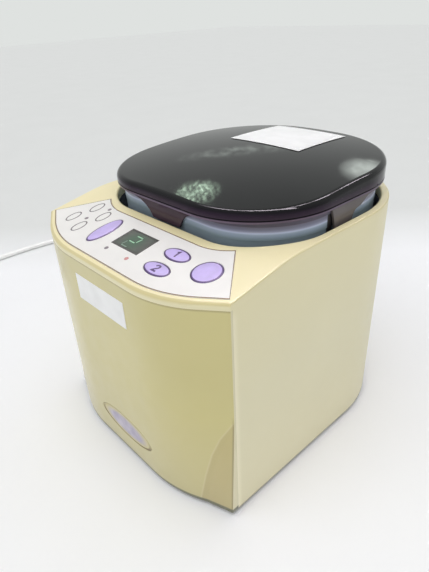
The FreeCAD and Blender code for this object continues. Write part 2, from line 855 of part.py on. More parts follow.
def rim_radius(edge):
    """The rounding of the deck's own edges: round the well, over the bow and along the sides."""
    middle = edge.valueAt((edge.FirstParameter + edge.LastParameter) / 2)
    deck_z = dim.rim_height - max(0.0, crease_y - middle.y) * math.tan(slope)
    upright = edge.BoundBox.XLength + edge.BoundBox.YLength < dim.rim_round
    if upright or middle.z < deck_z - dim.rim_round:
        return 0
    in_plan = Part.Vertex(middle.x, middle.y, 0)
    near = dim.screw_clearance / 10
    if in_plan.distToShape(well_line)[0] < near:
        return dim.well_round
    if in_plan.distToShape(case_line)[0] < near:
        return dim.lip_round if middle.y < corner_y else dim.rim_round
    return 0


node(round_edges("housing", housing_sharp, rim_radius))

# Key panel: overlay sheet, display, keys, switches, lamps and their board
overlay_thickness = "sizes.overlay_thickness"
overlay = slope_prism("control_overlay", [panel_loop(0.0)], "-sizes.overlay_recess", overlay_thickness)
overlay_holes = [key_loop(name, dim.clearance) for name in key_places]
overlay_holes += [window_loop(half_clearance)] + lamp_loops(half_clearance)
add_pocket(overlay, overlay_holes, "-sizes.overlay_thickness", "2 * sizes.overlay_thickness")
node(overlay)
node(slope_prism("display_window", [window_loop(0.0)], WINDOW_UNDER, "sizes.window_thickness"))

board_loop = box_loop(dim.board_left, dim.board_front, dim.board_right, dim.board_rear)
board_under = "-sizes.board_below - sizes.board_thickness"
board = slope_prism("control_board", [board_loop], board_under, "sizes.board_thickness")
add_pocket(board, screw_loops, board_under, "2 * sizes.board_thickness")
node(board)
board_seats = [(x, y, -dim.board_below - dim.board_thickness) for x, y in board_boss_places]
board_screws = screws("board_screws", board_seats, "sizes.board_screw_length")
board_screws.Placement = on_slope
node(board_screws)
digits_loop = window_loop(-dim.window_ledge)
node(slope_prism("digit_display", [digits_loop], "-sizes.board_below", "sizes.digits_height"))

stem_bottom = f"{SWITCH_TOP} + sizes.key_travel + sizes.key_rest_gap"
switches = []
for name, (x, y) in key_places.items():
    key_height = "sizes.cover_plate + sizes.clearance + sizes.key_proud"
    key = slope_prism(name, [key_loop(name, 0.0)], KEY_SEAT, key_height)
    flange_loop = key_loop(name, dim.key_flange)
    add_pad(key, [flange_loop], f"{KEY_SEAT} - sizes.key_flange_height", "sizes.key_flange_height")
    stem_loop = circle_loop(x, y, dim.key_stem_radius)
    add_pad(key, [stem_loop], stem_bottom, f"{KEY_SEAT} - ({stem_bottom})")
    node(key)
    half = dim.switch_size / 2
    switch_loop = box_loop(x - half, y - half, x + half, y + half)
    switch = prism(f"switch_{name}", [switch_loop], "-sizes.board_below", "sizes.switch_height")
    button_loop = circle_loop(x, y, dim.switch_button_radius)
    button_height = "sizes.switch_height + sizes.switch_button_height"
    add_pad(switch, [button_loop], "-sizes.board_below", button_height)
    switches.append(switch)
tact_switches = group("tact_switches", switches)
tact_switches.Placement = on_slope
node(tact_switches)

lamp_height = "sizes.board_below + sizes.overlay_recess"
lamps = [
    prism(f"lamp_{i}", [loop], "-sizes.board_below", lamp_height)
    for i, loop in enumerate(lamp_loops(0.0))
]
indicator_lamps = group("indicator_lamps", lamps)
indicator_lamps.Placement = on_slope
node(indicator_lamps)

# Heating chamber under the collar, with its gasket
chamber_outline = well_loop(dim.chamber_play + dim.chamber_wall)
chamber_height = "sizes.chamber_depth + sizes.chamber_wall"
chamber = prism("heating_chamber", [chamber_outline], CHAMBER_UNDER, chamber_height)
flange_under = f"{FLANGE_TOP} - sizes.flange_thickness"
add_pad(chamber, [well_loop(dim.flange_reach)], flange_under, "sizes.flange_thickness")
add_pocket(chamber, [well_loop(dim.chamber_play)], CHAMBER_FLOOR, "sizes.chamber_depth")
node(chamber)
gasket_loops = [well_loop(dim.gasket_width + dim.clearance), well_loop(dim.clearance)]
node(prism("chamber_gasket", gasket_loops, FLANGE_TOP, "sizes.gasket_height"))


# Heater stack under the chamber floor


def disc(name, z, radius, height):
    return cylinder(name, 0, well_middle_y, z, radius, height)


sensor_hole = "sizes.sensor_radius + sizes.clearance"
sensor_cover = "sizes.pan_wall + sizes.pad_height + sizes.element_height"
plate_thickness = "sizes.heater_plate_thickness"
node(disc("heater_plate", plate_under_z, "sizes.heater_plate_radius", plate_thickness))
element_height = "sizes.element_height"
element_disc = disc("element_disc", element_under_z, "sizes.element_outer_radius", element_height)
element_core = disc("element_core", element_under_z, "sizes.element_inner_radius", element_height)
node(cut("heater_element", element_disc, element_core))
pad_radius = "sizes.pan_radius - sizes.pan_wall - sizes.clearance"
pad_disc = disc("pad_disc", pad_under_z, pad_radius, "sizes.pad_height")
pad_bore = disc("pad_bore", pad_under_z, sensor_hole, "sizes.pad_height")
node(cut("insulation_pad", pad_disc, pad_bore))
pan_height = f"{sensor_cover} + {plate_thickness}"
pan_disc = disc("pan_disc", pan_under_z, "sizes.pan_radius", pan_height)
pan_inside = disc("pan_inside", pad_under_z, "sizes.pan_radius - sizes.pan_wall", pan_height)
pan_bore = disc("pan_bore", pan_under_z, sensor_hole, pan_height)
node(cut("heater_pan", pan_disc, fuse("pan_cuts", [pan_inside, pan_bore])))
sensor_z = pan_under_z - dim.sensor_tail
node(disc("thermistor", sensor_z, "sizes.sensor_radius", f"sizes.sensor_tail + {sensor_cover}"))
clip_z = pan_under_z - dim.sensor_clip_height
clip_size = ("sizes.sensor_clip_size", "sizes.sensor_clip_size", "sizes.sensor_clip_height")
clip_plate = block("sensor_clip_plate", *clip_size, 0, well_middle_y, clip_z)
clip_bore = disc("sensor_clip_bore", clip_z, sensor_hole, "sizes.sensor_clip_height")
node(cut("thermistor_clip", clip_plate, clip_bore))
fuse_z = pan_under_z - dim.fuse_block_height
fuse_size = ("sizes.fuse_block_length", "sizes.fuse_block_width", "sizes.fuse_block_height")
fuse_block = block("fuse_block", *fuse_size, dim.fuse_x, well_middle_y, fuse_z)


def fuse_rod(name, radius):
    rod_x = dim.fuse_x - dim.fuse_length / 2
    rod_z = fuse_z + dim.fuse_block_height / 2
    rod = cylinder(name, rod_x, well_middle_y, rod_z, radius, "sizes.fuse_length")
    rod.Placement.Rotation = FreeCAD.Rotation(FreeCAD.Vector(0, 1, 0), 90)
    return rod


fuse_bore = fuse_rod("fuse_bore", "sizes.fuse_radius + sizes.screw_clearance")
node(cut("fuse_clip", fuse_block, fuse_bore))
node(fuse_rod("thermal_fuse", "sizes.fuse_radius"))

# Power board behind the bow, what stands on it, and the mains terminal block
power_size = ("sizes.power_board_width", "sizes.power_board_depth", "sizes.board_thickness")
node(block("power_board", *power_size, 0, power_y, board_z))
core_size = ("sizes.transformer_width", "sizes.transformer_depth", "sizes.transformer_height")
node(block("transformer", *core_size, dim.transformer_x, power_y, board_top_z))
relay_size = ("sizes.relay_width", "sizes.relay_depth", "sizes.relay_height")
node(block("relay", *relay_size, dim.relay_x, power_y, board_top_z))
terminal_size = ("sizes.terminal_width", "sizes.terminal_depth", "sizes.terminal_height")
terminal_y = front_y + dim.terminal_setback
node(block("terminal_block", *terminal_size, 0, terminal_y, base_top_z))

# Ribbon cable from the power board up to the control board
ribbon_board_z = panel_z + (power_y - panel_y) * math.tan(slope)
ribbon_drop = (dim.board_below + dim.board_thickness) / math.cos(slope)
ribbon_top_z = ribbon_board_z - ribbon_drop - dim.clearance
ribbon_size = ("sizes.ribbon_width", "sizes.ribbon_thickness", str(ribbon_top_z - board_top_z))
node(block("ribbon_cable", *ribbon_size, dim.ribbon_x, power_y, board_top_z))

# Container that lifts out of the chamber
container_height = f"{CONTAINER_TOP} - ({CHAMBER_FLOOR})"
container = prism("container", [container_loop(0.0)], CHAMBER_FLOOR, container_height)
bead_bottom = f"{CONTAINER_TOP} - sizes.container_bead_height"
add_pad(container, [container_loop(-dim.container_bead)], bead_bottom, "sizes.container_bead_height")
container_inside = f"{CHAMBER_FLOOR} + sizes.container_floor"
add_pocket(container, [container_loop(dim.container_wall)], container_inside, container_height)
node(container)

# Lid: a dome cut from a rounded block, grooved above its flange, hollow underneath, with four tabs
lid_block = prism("lid_block", [lid_loop(0.0)], LID_BOTTOM, "2 * sizes.lid_height")


def dome_sphere(name, grow):
    dome = doc.addObject("Part::Sphere", name)
    dome.setExpression("Radius", f"sizes.dome_radius + {grow}")
    dome.Placement.Base = point(0, dome_y, lid_top_z - dim.dome_radius)
    return dome


lid_dome = common("lid_dome", [lid_block, dome_sphere("dome", "0")])


def dome_edge_radius(edge):
    """The rounding of the edge along which the dome meets the lid's upright side."""
    above_seat = edge.BoundBox.ZMin > lid_bottom_z + dim.tab_thickness
    return dim.lid_edge_round if above_seat and edge.Length > dim.lid_edge_round else 0


lid_rounded = round_edges("lid_rounded", lid_dome, dome_edge_radius)
lid_seat_width = dim.lid_front_reach + dim.container_gap + dim.container_wall
lid_hollow = prism("lid_hollow", [lid_loop(lid_seat_width)], LID_BOTTOM, "sizes.lid_cavity")
groove_loops = [lid_loop(-dim.lid_groove_depth), lid_loop(dim.lid_groove_depth)]
groove_bottom = f"{LID_BOTTOM} + sizes.lid_flange"
lid_groove = prism("lid_groove", groove_loops, groove_bottom, "sizes.lid_groove")
lid_cuts = fuse("lid_cuts", [lid_hollow, lid_groove])

# Edges of a lid tab, from its middle along the rim and down from it: the ramp, the foot, the steep end
ramp_long = [(-46.0, 0.0), (-38.0, 3.4), (-29.7, 5.3), (-24.7, 7.4), (-19.9, 10.6), (-16.0, 15.5)]
steep_long = [(12.5, 15.5), (16.4, 9.4), (19.4, 6.1), (24.8, 3.8), (29.0, 0.0)]
ramp_short = [(-27.0, 0.0), (-16.2, 1.6), (-8.0, 6.4), (-2.2, 7.6), (0.3, 10.1), (2.5, 15.5)]
steep_short = [(20.0, 15.5), (20.9, 11.8), (23.0, 4.5), (24.9, 0.0)]


def lid_tab(name, edge, flip):
    """A lid tab in X and Z, below the lid's rim: one ramped end and one steep end."""
    corners = [(x * flip, -drop) for x, drop in edge]
    root = [(x * flip, dim.tab_root) for x in (edge[-1][0], edge[0][0])]
    return prism(name, [polygon_loop(corners + root)], "0", "sizes.tab_thickness", "XZ_Plane")


tab_inset = dim.tab_gap + dim.tab_thickness
long_tab = ramp_long + steep_long
short_tab = ramp_short + steep_short
tab_places = {
    "tab_front": (long_tab, 1, 0, well_front + tab_inset, 0),
    "tab_right": (short_tab, -1, well_half - tab_inset, lid_middle_y, 90),
    "tab_rear": (long_tab, 1, 0, well_rear - tab_inset, 180),
    "tab_left": (short_tab, -1, -well_half + tab_inset, lid_middle_y, 270),
}
tabs = []
for name, (edge, flip, x, y, turn) in tab_places.items():
    tab = lid_tab(name, edge, flip)
    turned = FreeCAD.Rotation(FreeCAD.Vector(0, 0, 1), turn)
    tab.Placement = FreeCAD.Placement(point(x, y, lid_bottom_z), turned)
    tabs.append(tab)
node(fuse("lid", [cut("lid_shell", lid_rounded, lid_cuts)] + tabs))
lid_gasket_loops = [
    container_loop(-dim.lid_gasket_out),
    container_loop(dim.container_wall + dim.lid_gasket_in),
]
node(prism("lid_gasket", lid_gasket_loops, CONTAINER_TOP, "sizes.lid_gasket_height"))

# Blank labels, one on the bow and one on the dome
label_bottom = "sizes.front_label_z - sizes.front_label_height / 2"
label_loops = [case_loop(-dim.label_thickness), case_loop(0.0)]
label_ring = prism("label_ring", label_loops, label_bottom, "sizes.front_label_height")
label_field = block("label_field", "sizes.front_label_width", "sizes.wall", TALL, 0, front_y, 0)
node(common("front_label", [label_ring, label_field]))
label_face = dome_sphere("label_face", "sizes.clearance + sizes.label_thickness")
label_back = dome_sphere("label_back", "sizes.clearance")
dome_skin = cut("dome_skin", label_face, label_back)
field_size = ("sizes.lid_label_width", "sizes.lid_label_depth", "sizes.lid_height")
field_y = lid_middle_y + dim.lid_label_back
field_z = lid_bottom_z + dim.lid_cavity
lid_field = block("lid_field", *field_size, dim.lid_label_x, field_y, field_z)
node(common("lid_label", [dome_skin, lid_field]))


# Mains cord: tubes along straight runs joined by arcs as large as the runs allow


def tube_along(name, route, diameter):
    points = [point(*place) for place in route]
    edges = []
    start = points[0]
    for before, corner, after in zip(points, points[1:], points[2:]):
        arrive = corner - before
        leave = after - corner
        turn = arrive.getAngle(leave)
        reach = 0.45 * min(arrive.Length, leave.Length)
        arrive.normalize()
        leave.normalize()
        bend = reach / math.tan(turn / 2)
        inward = (leave - arrive).normalize()
        middle = corner + inward * (bend / math.cos(turn / 2) - bend)
        arc_start = corner - arrive * reach
        arc_end = corner + leave * reach
        edges.append(Part.LineSegment(start, arc_start).toShape())
        edges.append(Part.Arc(arc_start, middle, arc_end).toShape())
        start = arc_end
        print(f"{name} bend radius {bend:.1f}")
    edges.append(Part.LineSegment(start, points[-1]).toShape())
    wire = Part.Wire(edges)
    return swept_tube(name, wire, points[0], points[1] - points[0], diameter)


def swept_tube(name, wire, start, heading, diameter):
    section = Part.Wire([Part.Circle(start, heading, diameter / 2).toShape()])
    solid = wire.makePipeShell([section], True, False)
    expected = math.pi * diameter**2 / 4 * wire.Length
    print(f"{name} length {wire.Length:.1f}, volume ratio {solid.Volume / expected:.4f}")
    return node(feature(name, solid))


coil_spread = dim.coil_pitch * dim.coil_layer_turns / 2
coil_outer = dim.coil_mid_radius + coil_spread
coil_inner = dim.coil_mid_radius - coil_spread
bushing_end_y = rear_y + dim.bushing_flange + dim.bushing_length
nut_y = rear_y - dim.wall - dim.bushing_flange
floor_z = cord_radius + dim.cord_floor_gap
cord_route = [
    (0.0, bushing_end_y, dim.bushing_z),
    (0.0, 178.0, dim.bushing_z),
    (-12.0, 207.0, 8.5),
    (-47.0, 226.0, floor_z),
    (-95.0, 225.0, floor_z),
    (-150.0, 209.0, floor_z),
    (-208.0, 186.0, floor_z),
    (-265.0, 160.0, floor_z),
    (-322.0, 130.0, floor_z),
    (-374.0, 94.0, floor_z),
    (-412.0, 50.0, floor_z),
    (-421.0, -5.0, floor_z),
    (-421.0, -58.0, floor_z),
    (dim.coil_x - coil_outer, -96.0, dim.coil_lift),
    (dim.coil_x - coil_outer, dim.coil_y + dim.cord_diameter, dim.coil_lift),
]
tube_along("power_cord", cord_route, dim.cord_diameter)
lead_route = [
    (0.0, nut_y, dim.bushing_z),
    (0.0, 100.0, dim.bushing_z),
    (2.5, 82.0, 12.5),
    (4.0, 56.0, 9.6),
    (2.5, 18.0, 9.4),
    (0.0, -16.0, dim.lead_end_z),
    (0.0, terminal_y + dim.terminal_depth / 2, dim.lead_end_z),
]
tube_along("mains_lead", lead_route, dim.lead_diameter)

# Put-away coil: in on the lower layer, up in half a turn, out on the upper layer
climb_turns = 0.5
coil_turns = 2 * dim.coil_layer_turns + climb_turns


def coil_point(turns):
    layer = dim.coil_layer_turns
    angle = math.pi + 2 * math.pi * turns
    radius = coil_inner
    rise = dim.coil_layer_rise
    if turns <= layer:
        radius = coil_outer - dim.coil_pitch * turns
        rise = 0.0
    elif turns <= layer + climb_turns:
        rise = dim.coil_layer_rise * (turns - layer) / climb_turns
    else:
        radius = coil_inner + dim.coil_pitch * (turns - layer - climb_turns)
    return point(
        dim.coil_x + radius * math.cos(angle),
        dim.coil_y + radius * math.sin(angle),
        dim.coil_lift + rise,
    )


def coil_heading(turns):
    step = 0.002
    return (coil_point(turns + step) - coil_point(turns - step)).normalize()


def arc_from(start, heading, end):
    """The arc that leaves start along heading and ends at end."""
    chord = end - start
    along = FreeCAD.Vector(chord).normalize()
    across = (heading - along * heading.dot(along)).normalize()
    sagitta = chord.Length / 2 * math.tan(heading.getAngle(along) / 2)
    return Part.Arc(start, (start + end) * 0.5 + across * sagitta, end).toShape()


def biarc(start, start_heading, end, end_heading):
    """Two arcs, tangent to each other, from one point and heading to another."""
    gap = end - start
    square = 2 * (1 - start_heading.dot(end_heading))
    along = gap.dot(start_heading + end_heading)
    reach = (math.sqrt(along**2 + square * gap.Length**2) - along) / square
    joint = (start + start_heading * reach + end - end_heading * reach) * 0.5
    return [arc_from(start, start_heading, joint), arc_from(end, end_heading * -1, joint)]


quarter_turns = int(round(coil_turns * 4))
stations = [coil_turns * i / quarter_turns for i in range(quarter_turns + 1)]
coil_places = [coil_point(turns) for turns in stations]
coil_headings = [coil_heading(turns) for turns in stations]
coil_headings[0] = point(0, -1, 0)
lead_in = coil_places[0] + point(0, dim.cord_diameter, 0)
coil_end = coil_places[-1] + coil_headings[-1] * dim.coil_tail
coil_edges = [Part.LineSegment(lead_in, coil_places[0]).toShape()]
for i in range(quarter_turns):
    here = (coil_places[i], coil_headings[i])
    there = (coil_places[i + 1], coil_headings[i + 1])
    coil_edges += biarc(*here, *there)
coil_edges.append(Part.LineSegment(coil_places[-1], coil_end).toShape())
coil_wire = Part.Wire(Part.__sortEdges__(coil_edges))
swept_tube("cord_coil", coil_wire, lead_in, coil_headings[0], dim.cord_diameter)


def coil_least_gap():
    """The least gap between the coil's turns, on points along its centre line."""
    count = 400
    apart = 40
    samples = [coil_point(coil_turns * i / count) for i in range(count + 1)]
    pairs = ((i, j) for i in range(count) for j in range(i + apart, count + 1))
    return min((samples[i] - samples[j]).Length for i, j in pairs) - dim.cord_diameter


print(f"cord_coil least gap to itself {coil_least_gap():.2f}")

# Tie round the winding, on the side nearest the casing
tie_low = dim.coil_lift - cord_radius - dim.clearance
tie_high = dim.coil_lift + dim.coil_layer_rise + cord_radius + dim.clearance
tie_in = coil_inner - cord_radius - 2 * dim.clearance
tie_out = coil_outer + cord_radius + 2 * dim.clearance


def tie_loop(grow):
    return box_loop(tie_in - grow, tie_low - grow, tie_out + grow, tie_high + grow)


tie_loops = [tie_loop(dim.tie_thickness), tie_loop(0.0)]
tie = prism("cord_tie", tie_loops, "0", "sizes.tie_width", "XZ_Plane", True)
tie.Placement.Base = point(dim.coil_x, dim.coil_y, 0)
node(tie)

# Plug at the end of the coil, blades pointing on along the cord
plug_half = dim.plug_width / 2
plug_shoulder = 2 * dim.plug_taper
plug_loop = polygon_loop([
    (0, -plug_half + dim.plug_taper),
    (plug_shoulder, -plug_half),
    (dim.plug_length, -plug_half),
    (dim.plug_length, plug_half),
    (plug_shoulder, plug_half),
    (0, plug_half - dim.plug_taper),
])
plug_rise = "2 * (sizes.coil_lift + sizes.coil_layer_rise - sizes.clearance)"
plug_turn = math.degrees(math.atan2(coil_headings[-1].y, coil_headings[-1].x))
at_plug = FreeCAD.Placement(coil_end, FreeCAD.Rotation(FreeCAD.Vector(0, 0, 1), plug_turn))
plug = prism("cord_plug", [plug_loop], "0", plug_rise, both_ways=True)
plug.Placement = at_plug
node(plug)
blades = []
for i, side in enumerate((1, -1)):
    blade_y = side * dim.blade_spacing / 2
    half = dim.blade_thickness / 2
    tip_x = dim.plug_length + dim.blade_length
    blade_loop = box_loop(dim.plug_length, blade_y - half, tip_x, blade_y + half)
    blades.append(prism(f"blade_{i}", [blade_loop], "0", "sizes.blade_width", both_ways=True))
plug_blades = group("plug_blades", blades)
plug_blades.Placement = at_plug
node(plug_blades)

# Bushing: a flange each side of the wall, a neck through it and a tapered sleeve
sleeve = doc.addObject("Part::Cone", "bushing_sleeve")
sleeve.setExpression("Radius1", "sizes.bushing_root_radius")
sleeve.setExpression("Radius2", "sizes.cord_diameter / 2 + sizes.bushing_tip_wall")
sleeve.setExpression("Height", "sizes.bushing_length")
sleeve_root = point(0, rear_y + dim.bushing_flange, dim.bushing_z)
sleeve.Placement = FreeCAD.Placement(sleeve_root, turn_to_rear)
flange_radius = "sizes.bushing_flange_radius"
neck_length = "sizes.wall + 2 * sizes.bushing_flange"
bushing_parts = [
    on_cord_axis("bushing_outer", rear_y, flange_radius, "sizes.bushing_flange"),
    on_cord_axis("bushing_neck", nut_y, "sizes.bushing_neck_radius", neck_length),
    on_cord_axis("bushing_nut", nut_y, "sizes.bushing_nut_radius", "sizes.bushing_flange"),
    sleeve,
]
node(fuse("cord_bushing", bushing_parts))

# Build, check and write every piece
doc.recompute()
broken = [o.Name for o in doc.Objects if "Invalid" in o.State or "Error" in o.State]
broken += [o.Name for o in nodes if o.Shape.isNull() or not o.Shape.isValid()]
if broken:
    raise RuntimeError(f"objects that failed: {broken}")
os.makedirs("parts", exist_ok=True)
for piece in nodes:
    piece.Shape.exportStep(f"parts/{piece.Label}.step")
    print(f"{piece.Label}: {len(piece.Shape.Solids)} solids, {piece.Shape.Volume:.0f} mm3")
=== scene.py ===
import json
import math

import bmesh
import bpy
from mathutils import Matrix, Vector


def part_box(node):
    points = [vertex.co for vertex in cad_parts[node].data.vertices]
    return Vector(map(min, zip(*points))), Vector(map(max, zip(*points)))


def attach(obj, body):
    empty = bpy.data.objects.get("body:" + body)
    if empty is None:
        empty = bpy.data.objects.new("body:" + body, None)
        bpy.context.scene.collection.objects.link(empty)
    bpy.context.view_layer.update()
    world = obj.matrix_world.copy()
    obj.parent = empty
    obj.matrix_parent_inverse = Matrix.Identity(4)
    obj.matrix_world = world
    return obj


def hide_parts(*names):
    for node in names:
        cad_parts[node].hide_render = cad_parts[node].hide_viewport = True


# Looks of a table-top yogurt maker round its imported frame. Metres, +Z up, front towards -Y.

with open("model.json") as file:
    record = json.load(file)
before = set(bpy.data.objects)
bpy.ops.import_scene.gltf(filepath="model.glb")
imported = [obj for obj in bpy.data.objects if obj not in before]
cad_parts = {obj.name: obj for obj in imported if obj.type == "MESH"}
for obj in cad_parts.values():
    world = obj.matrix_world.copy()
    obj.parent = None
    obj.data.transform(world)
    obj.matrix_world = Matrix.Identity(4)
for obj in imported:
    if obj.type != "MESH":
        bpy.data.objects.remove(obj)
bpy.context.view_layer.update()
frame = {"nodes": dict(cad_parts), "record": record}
nodes = frame["nodes"]
scene = bpy.context.scene
MM = 0.001


# Camera, fitted to the straight edges of the casing in the photograph

CAMERA_PLACE = (0.250966, -0.241947, 0.302197)
CAMERA_YAW, CAMERA_PITCH, CAMERA_ROLL = (math.radians(a) for a in (48.469, 30.155, 2.942))
FOCAL_PIXELS = 481.365
IMAGE_HEIGHT = 572


def make_camera():
    ahead = Vector((
        -math.sin(CAMERA_YAW) * math.cos(CAMERA_PITCH),
        math.cos(CAMERA_YAW) * math.cos(CAMERA_PITCH),
        -math.sin(CAMERA_PITCH),
    ))
    level_right = Vector((math.cos(CAMERA_YAW), math.sin(CAMERA_YAW), 0))
    level_down = ahead.cross(level_right)
    right = level_right * math.cos(CAMERA_ROLL) + level_down * math.sin(CAMERA_ROLL)
    up = level_right * math.sin(CAMERA_ROLL) - level_down * math.cos(CAMERA_ROLL)
    data = bpy.data.cameras.new("photo_camera")
    data.sensor_width = 36.0
    data.lens = FOCAL_PIXELS / IMAGE_HEIGHT * data.sensor_width
    data.clip_start = 0.01
    camera = bpy.data.objects.new("photo_camera", data)
    scene.collection.objects.link(camera)
    turn = Matrix((right, up, -ahead)).transposed().to_4x4()
    camera.matrix_world = Matrix.Translation(CAMERA_PLACE) @ turn
    scene.camera = camera


make_camera()
scene.view_settings.view_transform = "Standard"


# Materials: every surface drifts a little in colour and gloss, and has a fine grain


def linear(red, green, blue):
    """A colour as seen on a screen, 0 to 255, as the light values that the shaders take."""
    shares = (value / 255 for value in (red, green, blue))
    return tuple(s / 12.92 if s <= 0.04045 else ((s + 0.055) / 1.055) ** 2.4 for s in shares)


def shaded(colour, factor):
    return tuple(min(255.0, value * factor) for value in colour)


class Surface:
    """One node material: a principled shader and the textures that feed it."""

    def __init__(self, name, **constants):
        self.material = bpy.data.materials.new(name)
        self.material.use_nodes = True
        self.tree = self.material.node_tree
        self.shader = self.tree.nodes["Principled BSDF"]
        frame_of = self.add("ShaderNodeTexCoord")
        self.place, self.outward = frame_of.outputs["Object"], frame_of.outputs["Normal"]
        for socket, value in constants.items():
            self.shader.inputs[socket.replace("_", " ")].default_value = value

    def add(self, kind):
        return self.tree.nodes.new(kind)

    def link(self, output, socket):
        self.tree.links.new(output, socket)

    def noise(self, scale, detail=3.0, stretch=(1.0, 1.0, 1.0)):
        mapping = self.add("ShaderNodeMapping")
        mapping.inputs["Scale"].default_value = stretch
        self.link(self.place, mapping.inputs["Vector"])
        texture = self.add("ShaderNodeTexNoise")
        texture.inputs["Scale"].default_value = scale
        texture.inputs["Detail"].default_value = detail
        self.link(mapping.outputs["Vector"], texture.inputs["Vector"])
        return texture.outputs[0]

    def axis(self, index, vector=None):
        split = self.add("ShaderNodeSeparateXYZ")
        self.link(vector or self.place, split.inputs[0])
        return split.outputs[index]

    def facing(self, index, low, high):
        """How far a surface turns to an axis, either way."""
        return self.remap(self.calc("ABSOLUTE", self.axis(index, self.outward)), low, high, 0.0, 1.0)

    def along(self, index, low, high):
        """How far a point lies from low to high along an axis of the part's own frame."""
        return self.remap(self.axis(index), low, high, 0.0, 1.0)

    def away(self, place, near, far):
        """How far a point lies out from a place, 0 at the near distance and 1 at the far one."""
        node = self.add("ShaderNodeVectorMath")
        node.operation = "DISTANCE"
        self.link(self.place, node.inputs[0])
        node.inputs[1].default_value = place
        return self.remap(node.outputs["Value"], near, far, 0.0, 1.0)

    def towards(self, direction):
        """How far a point lies from the origin in a direction."""
        node = self.add("ShaderNodeVectorMath")
        node.operation = "DOT_PRODUCT"
        self.link(self.place, node.inputs[0])
        node.inputs[1].default_value = direction
        return node.outputs["Value"]

    def oval(self, centre, halves):
        """How far a point lies out in an oval, 1 on its rim."""
        mapping = self.add("ShaderNodeMapping")
        mapping.vector_type = "TEXTURE"
        mapping.inputs["Location"].default_value = centre
        mapping.inputs["Scale"].default_value = halves
        self.link(self.place, mapping.inputs["Vector"])
        node = self.add("ShaderNodeVectorMath")
        node.operation = "LENGTH"
        self.link(mapping.outputs["Vector"], node.inputs[0])
        return node.outputs["Value"]

    def above_panel(self):
        """Height over the key panel's plane, below it less than zero."""
        up = (0.0, -math.sin(PANEL_ANGLE), math.cos(PANEL_ANGLE))
        return self.calc("SUBTRACT", self.towards(up), (PANEL_Y * up[1] + PANEL_Z * up[2]) * MM)

    def calc(self, operation, first, second=0.0):
        node = self.add("ShaderNodeMath")
        node.operation = operation
        for socket, value in zip(node.inputs, (first, second)):
            if isinstance(value, float):
                socket.default_value = value
            else:
                self.link(value, socket)
        return node.outputs[0]

    def remap(self, value, low, high, to_low, to_high):
        node = self.add("ShaderNodeMapRange")
        limits = {"From Min": low, "From Max": high, "To Min": to_low, "To Max": to_high}
        for socket, number in limits.items():
            node.inputs[socket].default_value = number
        self.link(value, node.inputs["Value"])
        return node.outputs["Result"]

    def levels(self, value, stops):
        """A number that runs through stops of position and level."""
        return self.blend(value, [(position, (level, level, level)) for position, level in stops])

    def ramp(self, value, stops):
        """A colour that runs through stops of position and colour as seen on a screen."""
        return self.blend(value, [(position, linear(*colour)) for position, colour in stops])

    def bands(self, stops):
        """A colour that changes up the part, through stops of height in millimetres and colour."""
        low, high = stops[0][0], stops[-1][0]
        shares = [((height - low) / (high - low), colour) for height, colour in stops]
        return self.ramp(self.along(2, low * MM, high * MM), shares)

    def blend(self, value, stops):
        node = self.add("ShaderNodeValToRGB")
        elements = node.color_ramp.elements
        elements[0].position, elements[1].position = stops[0][0], stops[-1][0]
        for position, _ in stops[1:-1]:
            elements.new(position)
        for element, (_, light) in zip(elements, stops):
            element.color = (*light, 1.0)
        self.link(value, node.inputs["Fac"])
        return node.outputs["Color"]

    def mix(self, factor, first, second, blend="MIX"):
        node = self.add("ShaderNodeMix")
        node.data_type = "RGBA"
        node.blend_type = blend
        if isinstance(factor, float):
            node.inputs[0].default_value = factor
        else:
            self.link(factor, node.inputs[0])
        for socket, colour in ((node.inputs[6], first), (node.inputs[7], second)):
            if isinstance(colour, tuple):
                socket.default_value = (*linear(*colour), 1.0)
            else:
                self.link(colour, socket)
        return node.outputs[2]

    def drift(self, scale, spread):
        """Pale grey patches to multiply a colour with."""
        low = shaded((255, 255, 255), 1 - spread)
        return self.ramp(self.noise(scale), [(0.3, low), (0.7, (255, 255, 255))])

    def paint(self, colour):
        self.link(colour, self.shader.inputs["Base Color"])

    def gloss(self, roughness, spread, scale):
        rough = self.remap(self.noise(scale), 0.3, 0.7, roughness - spread, roughness + spread)
        self.link(rough, self.shader.inputs["Roughness"])

    def grain(self, scale, strength, stretch=(1.0, 1.0, 1.0), soften=0.0):
        bump = self.add("ShaderNodeBump")
        bump.inputs["Strength"].default_value = strength
        bump.inputs["Distance"].default_value = 0.2 * MM
        self.link(self.noise(scale, 2.0, stretch), bump.inputs["Height"])
        if soften:
            bevel = self.add("ShaderNodeBevel")
            bevel.inputs["Radius"].default_value = soften
            self.link(bevel.outputs["Normal"], bump.inputs["Normal"])
        self.link(bump.outputs["Normal"], self.shader.inputs["Normal"])


def plain(name, colour, roughness, spread=0.05, cell=40.0, grain=1500.0, bump=0.08, soften=0.0, **constants):
    """A surface of one colour with drift, uneven gloss and grain."""
    surface = Surface(name, **constants)
    dark, light = shaded(colour, 1 - spread), shaded(colour, 1 + spread / 2)
    surface.paint(surface.ramp(surface.noise(cell), [(0.3, dark), (0.7, light)]))
    surface.gloss(roughness, min(0.06, roughness / 3), cell * 5)
    surface.grain(grain, bump, soften=soften)
    return surface.material


# The key panel's plane: its slope and the display's centre
PANEL_ANGLE = math.radians(10.87)
PANEL_Y, PANEL_Z = -88.5794, 171.2573
# The crease of the facet at a lower front corner: height, distance in from the corner
CASE_HALF = 100.0
FACET_CREASE = [(3.0, 23.3), (31.0, 18.4), (52.0, 13.8), (68.0, 8.5), (84.0, 0.6)]
FACET_SPAN, FACET_SPARE, FACET_TOP = 30.0, 2.0, 100.0
# Where the crease runs out, as a share of the top; its width and the facet's soft edge, of the span
FACET_END, CREASE_WIDTH, FACET_SOFT = 0.86, 0.03, 0.016

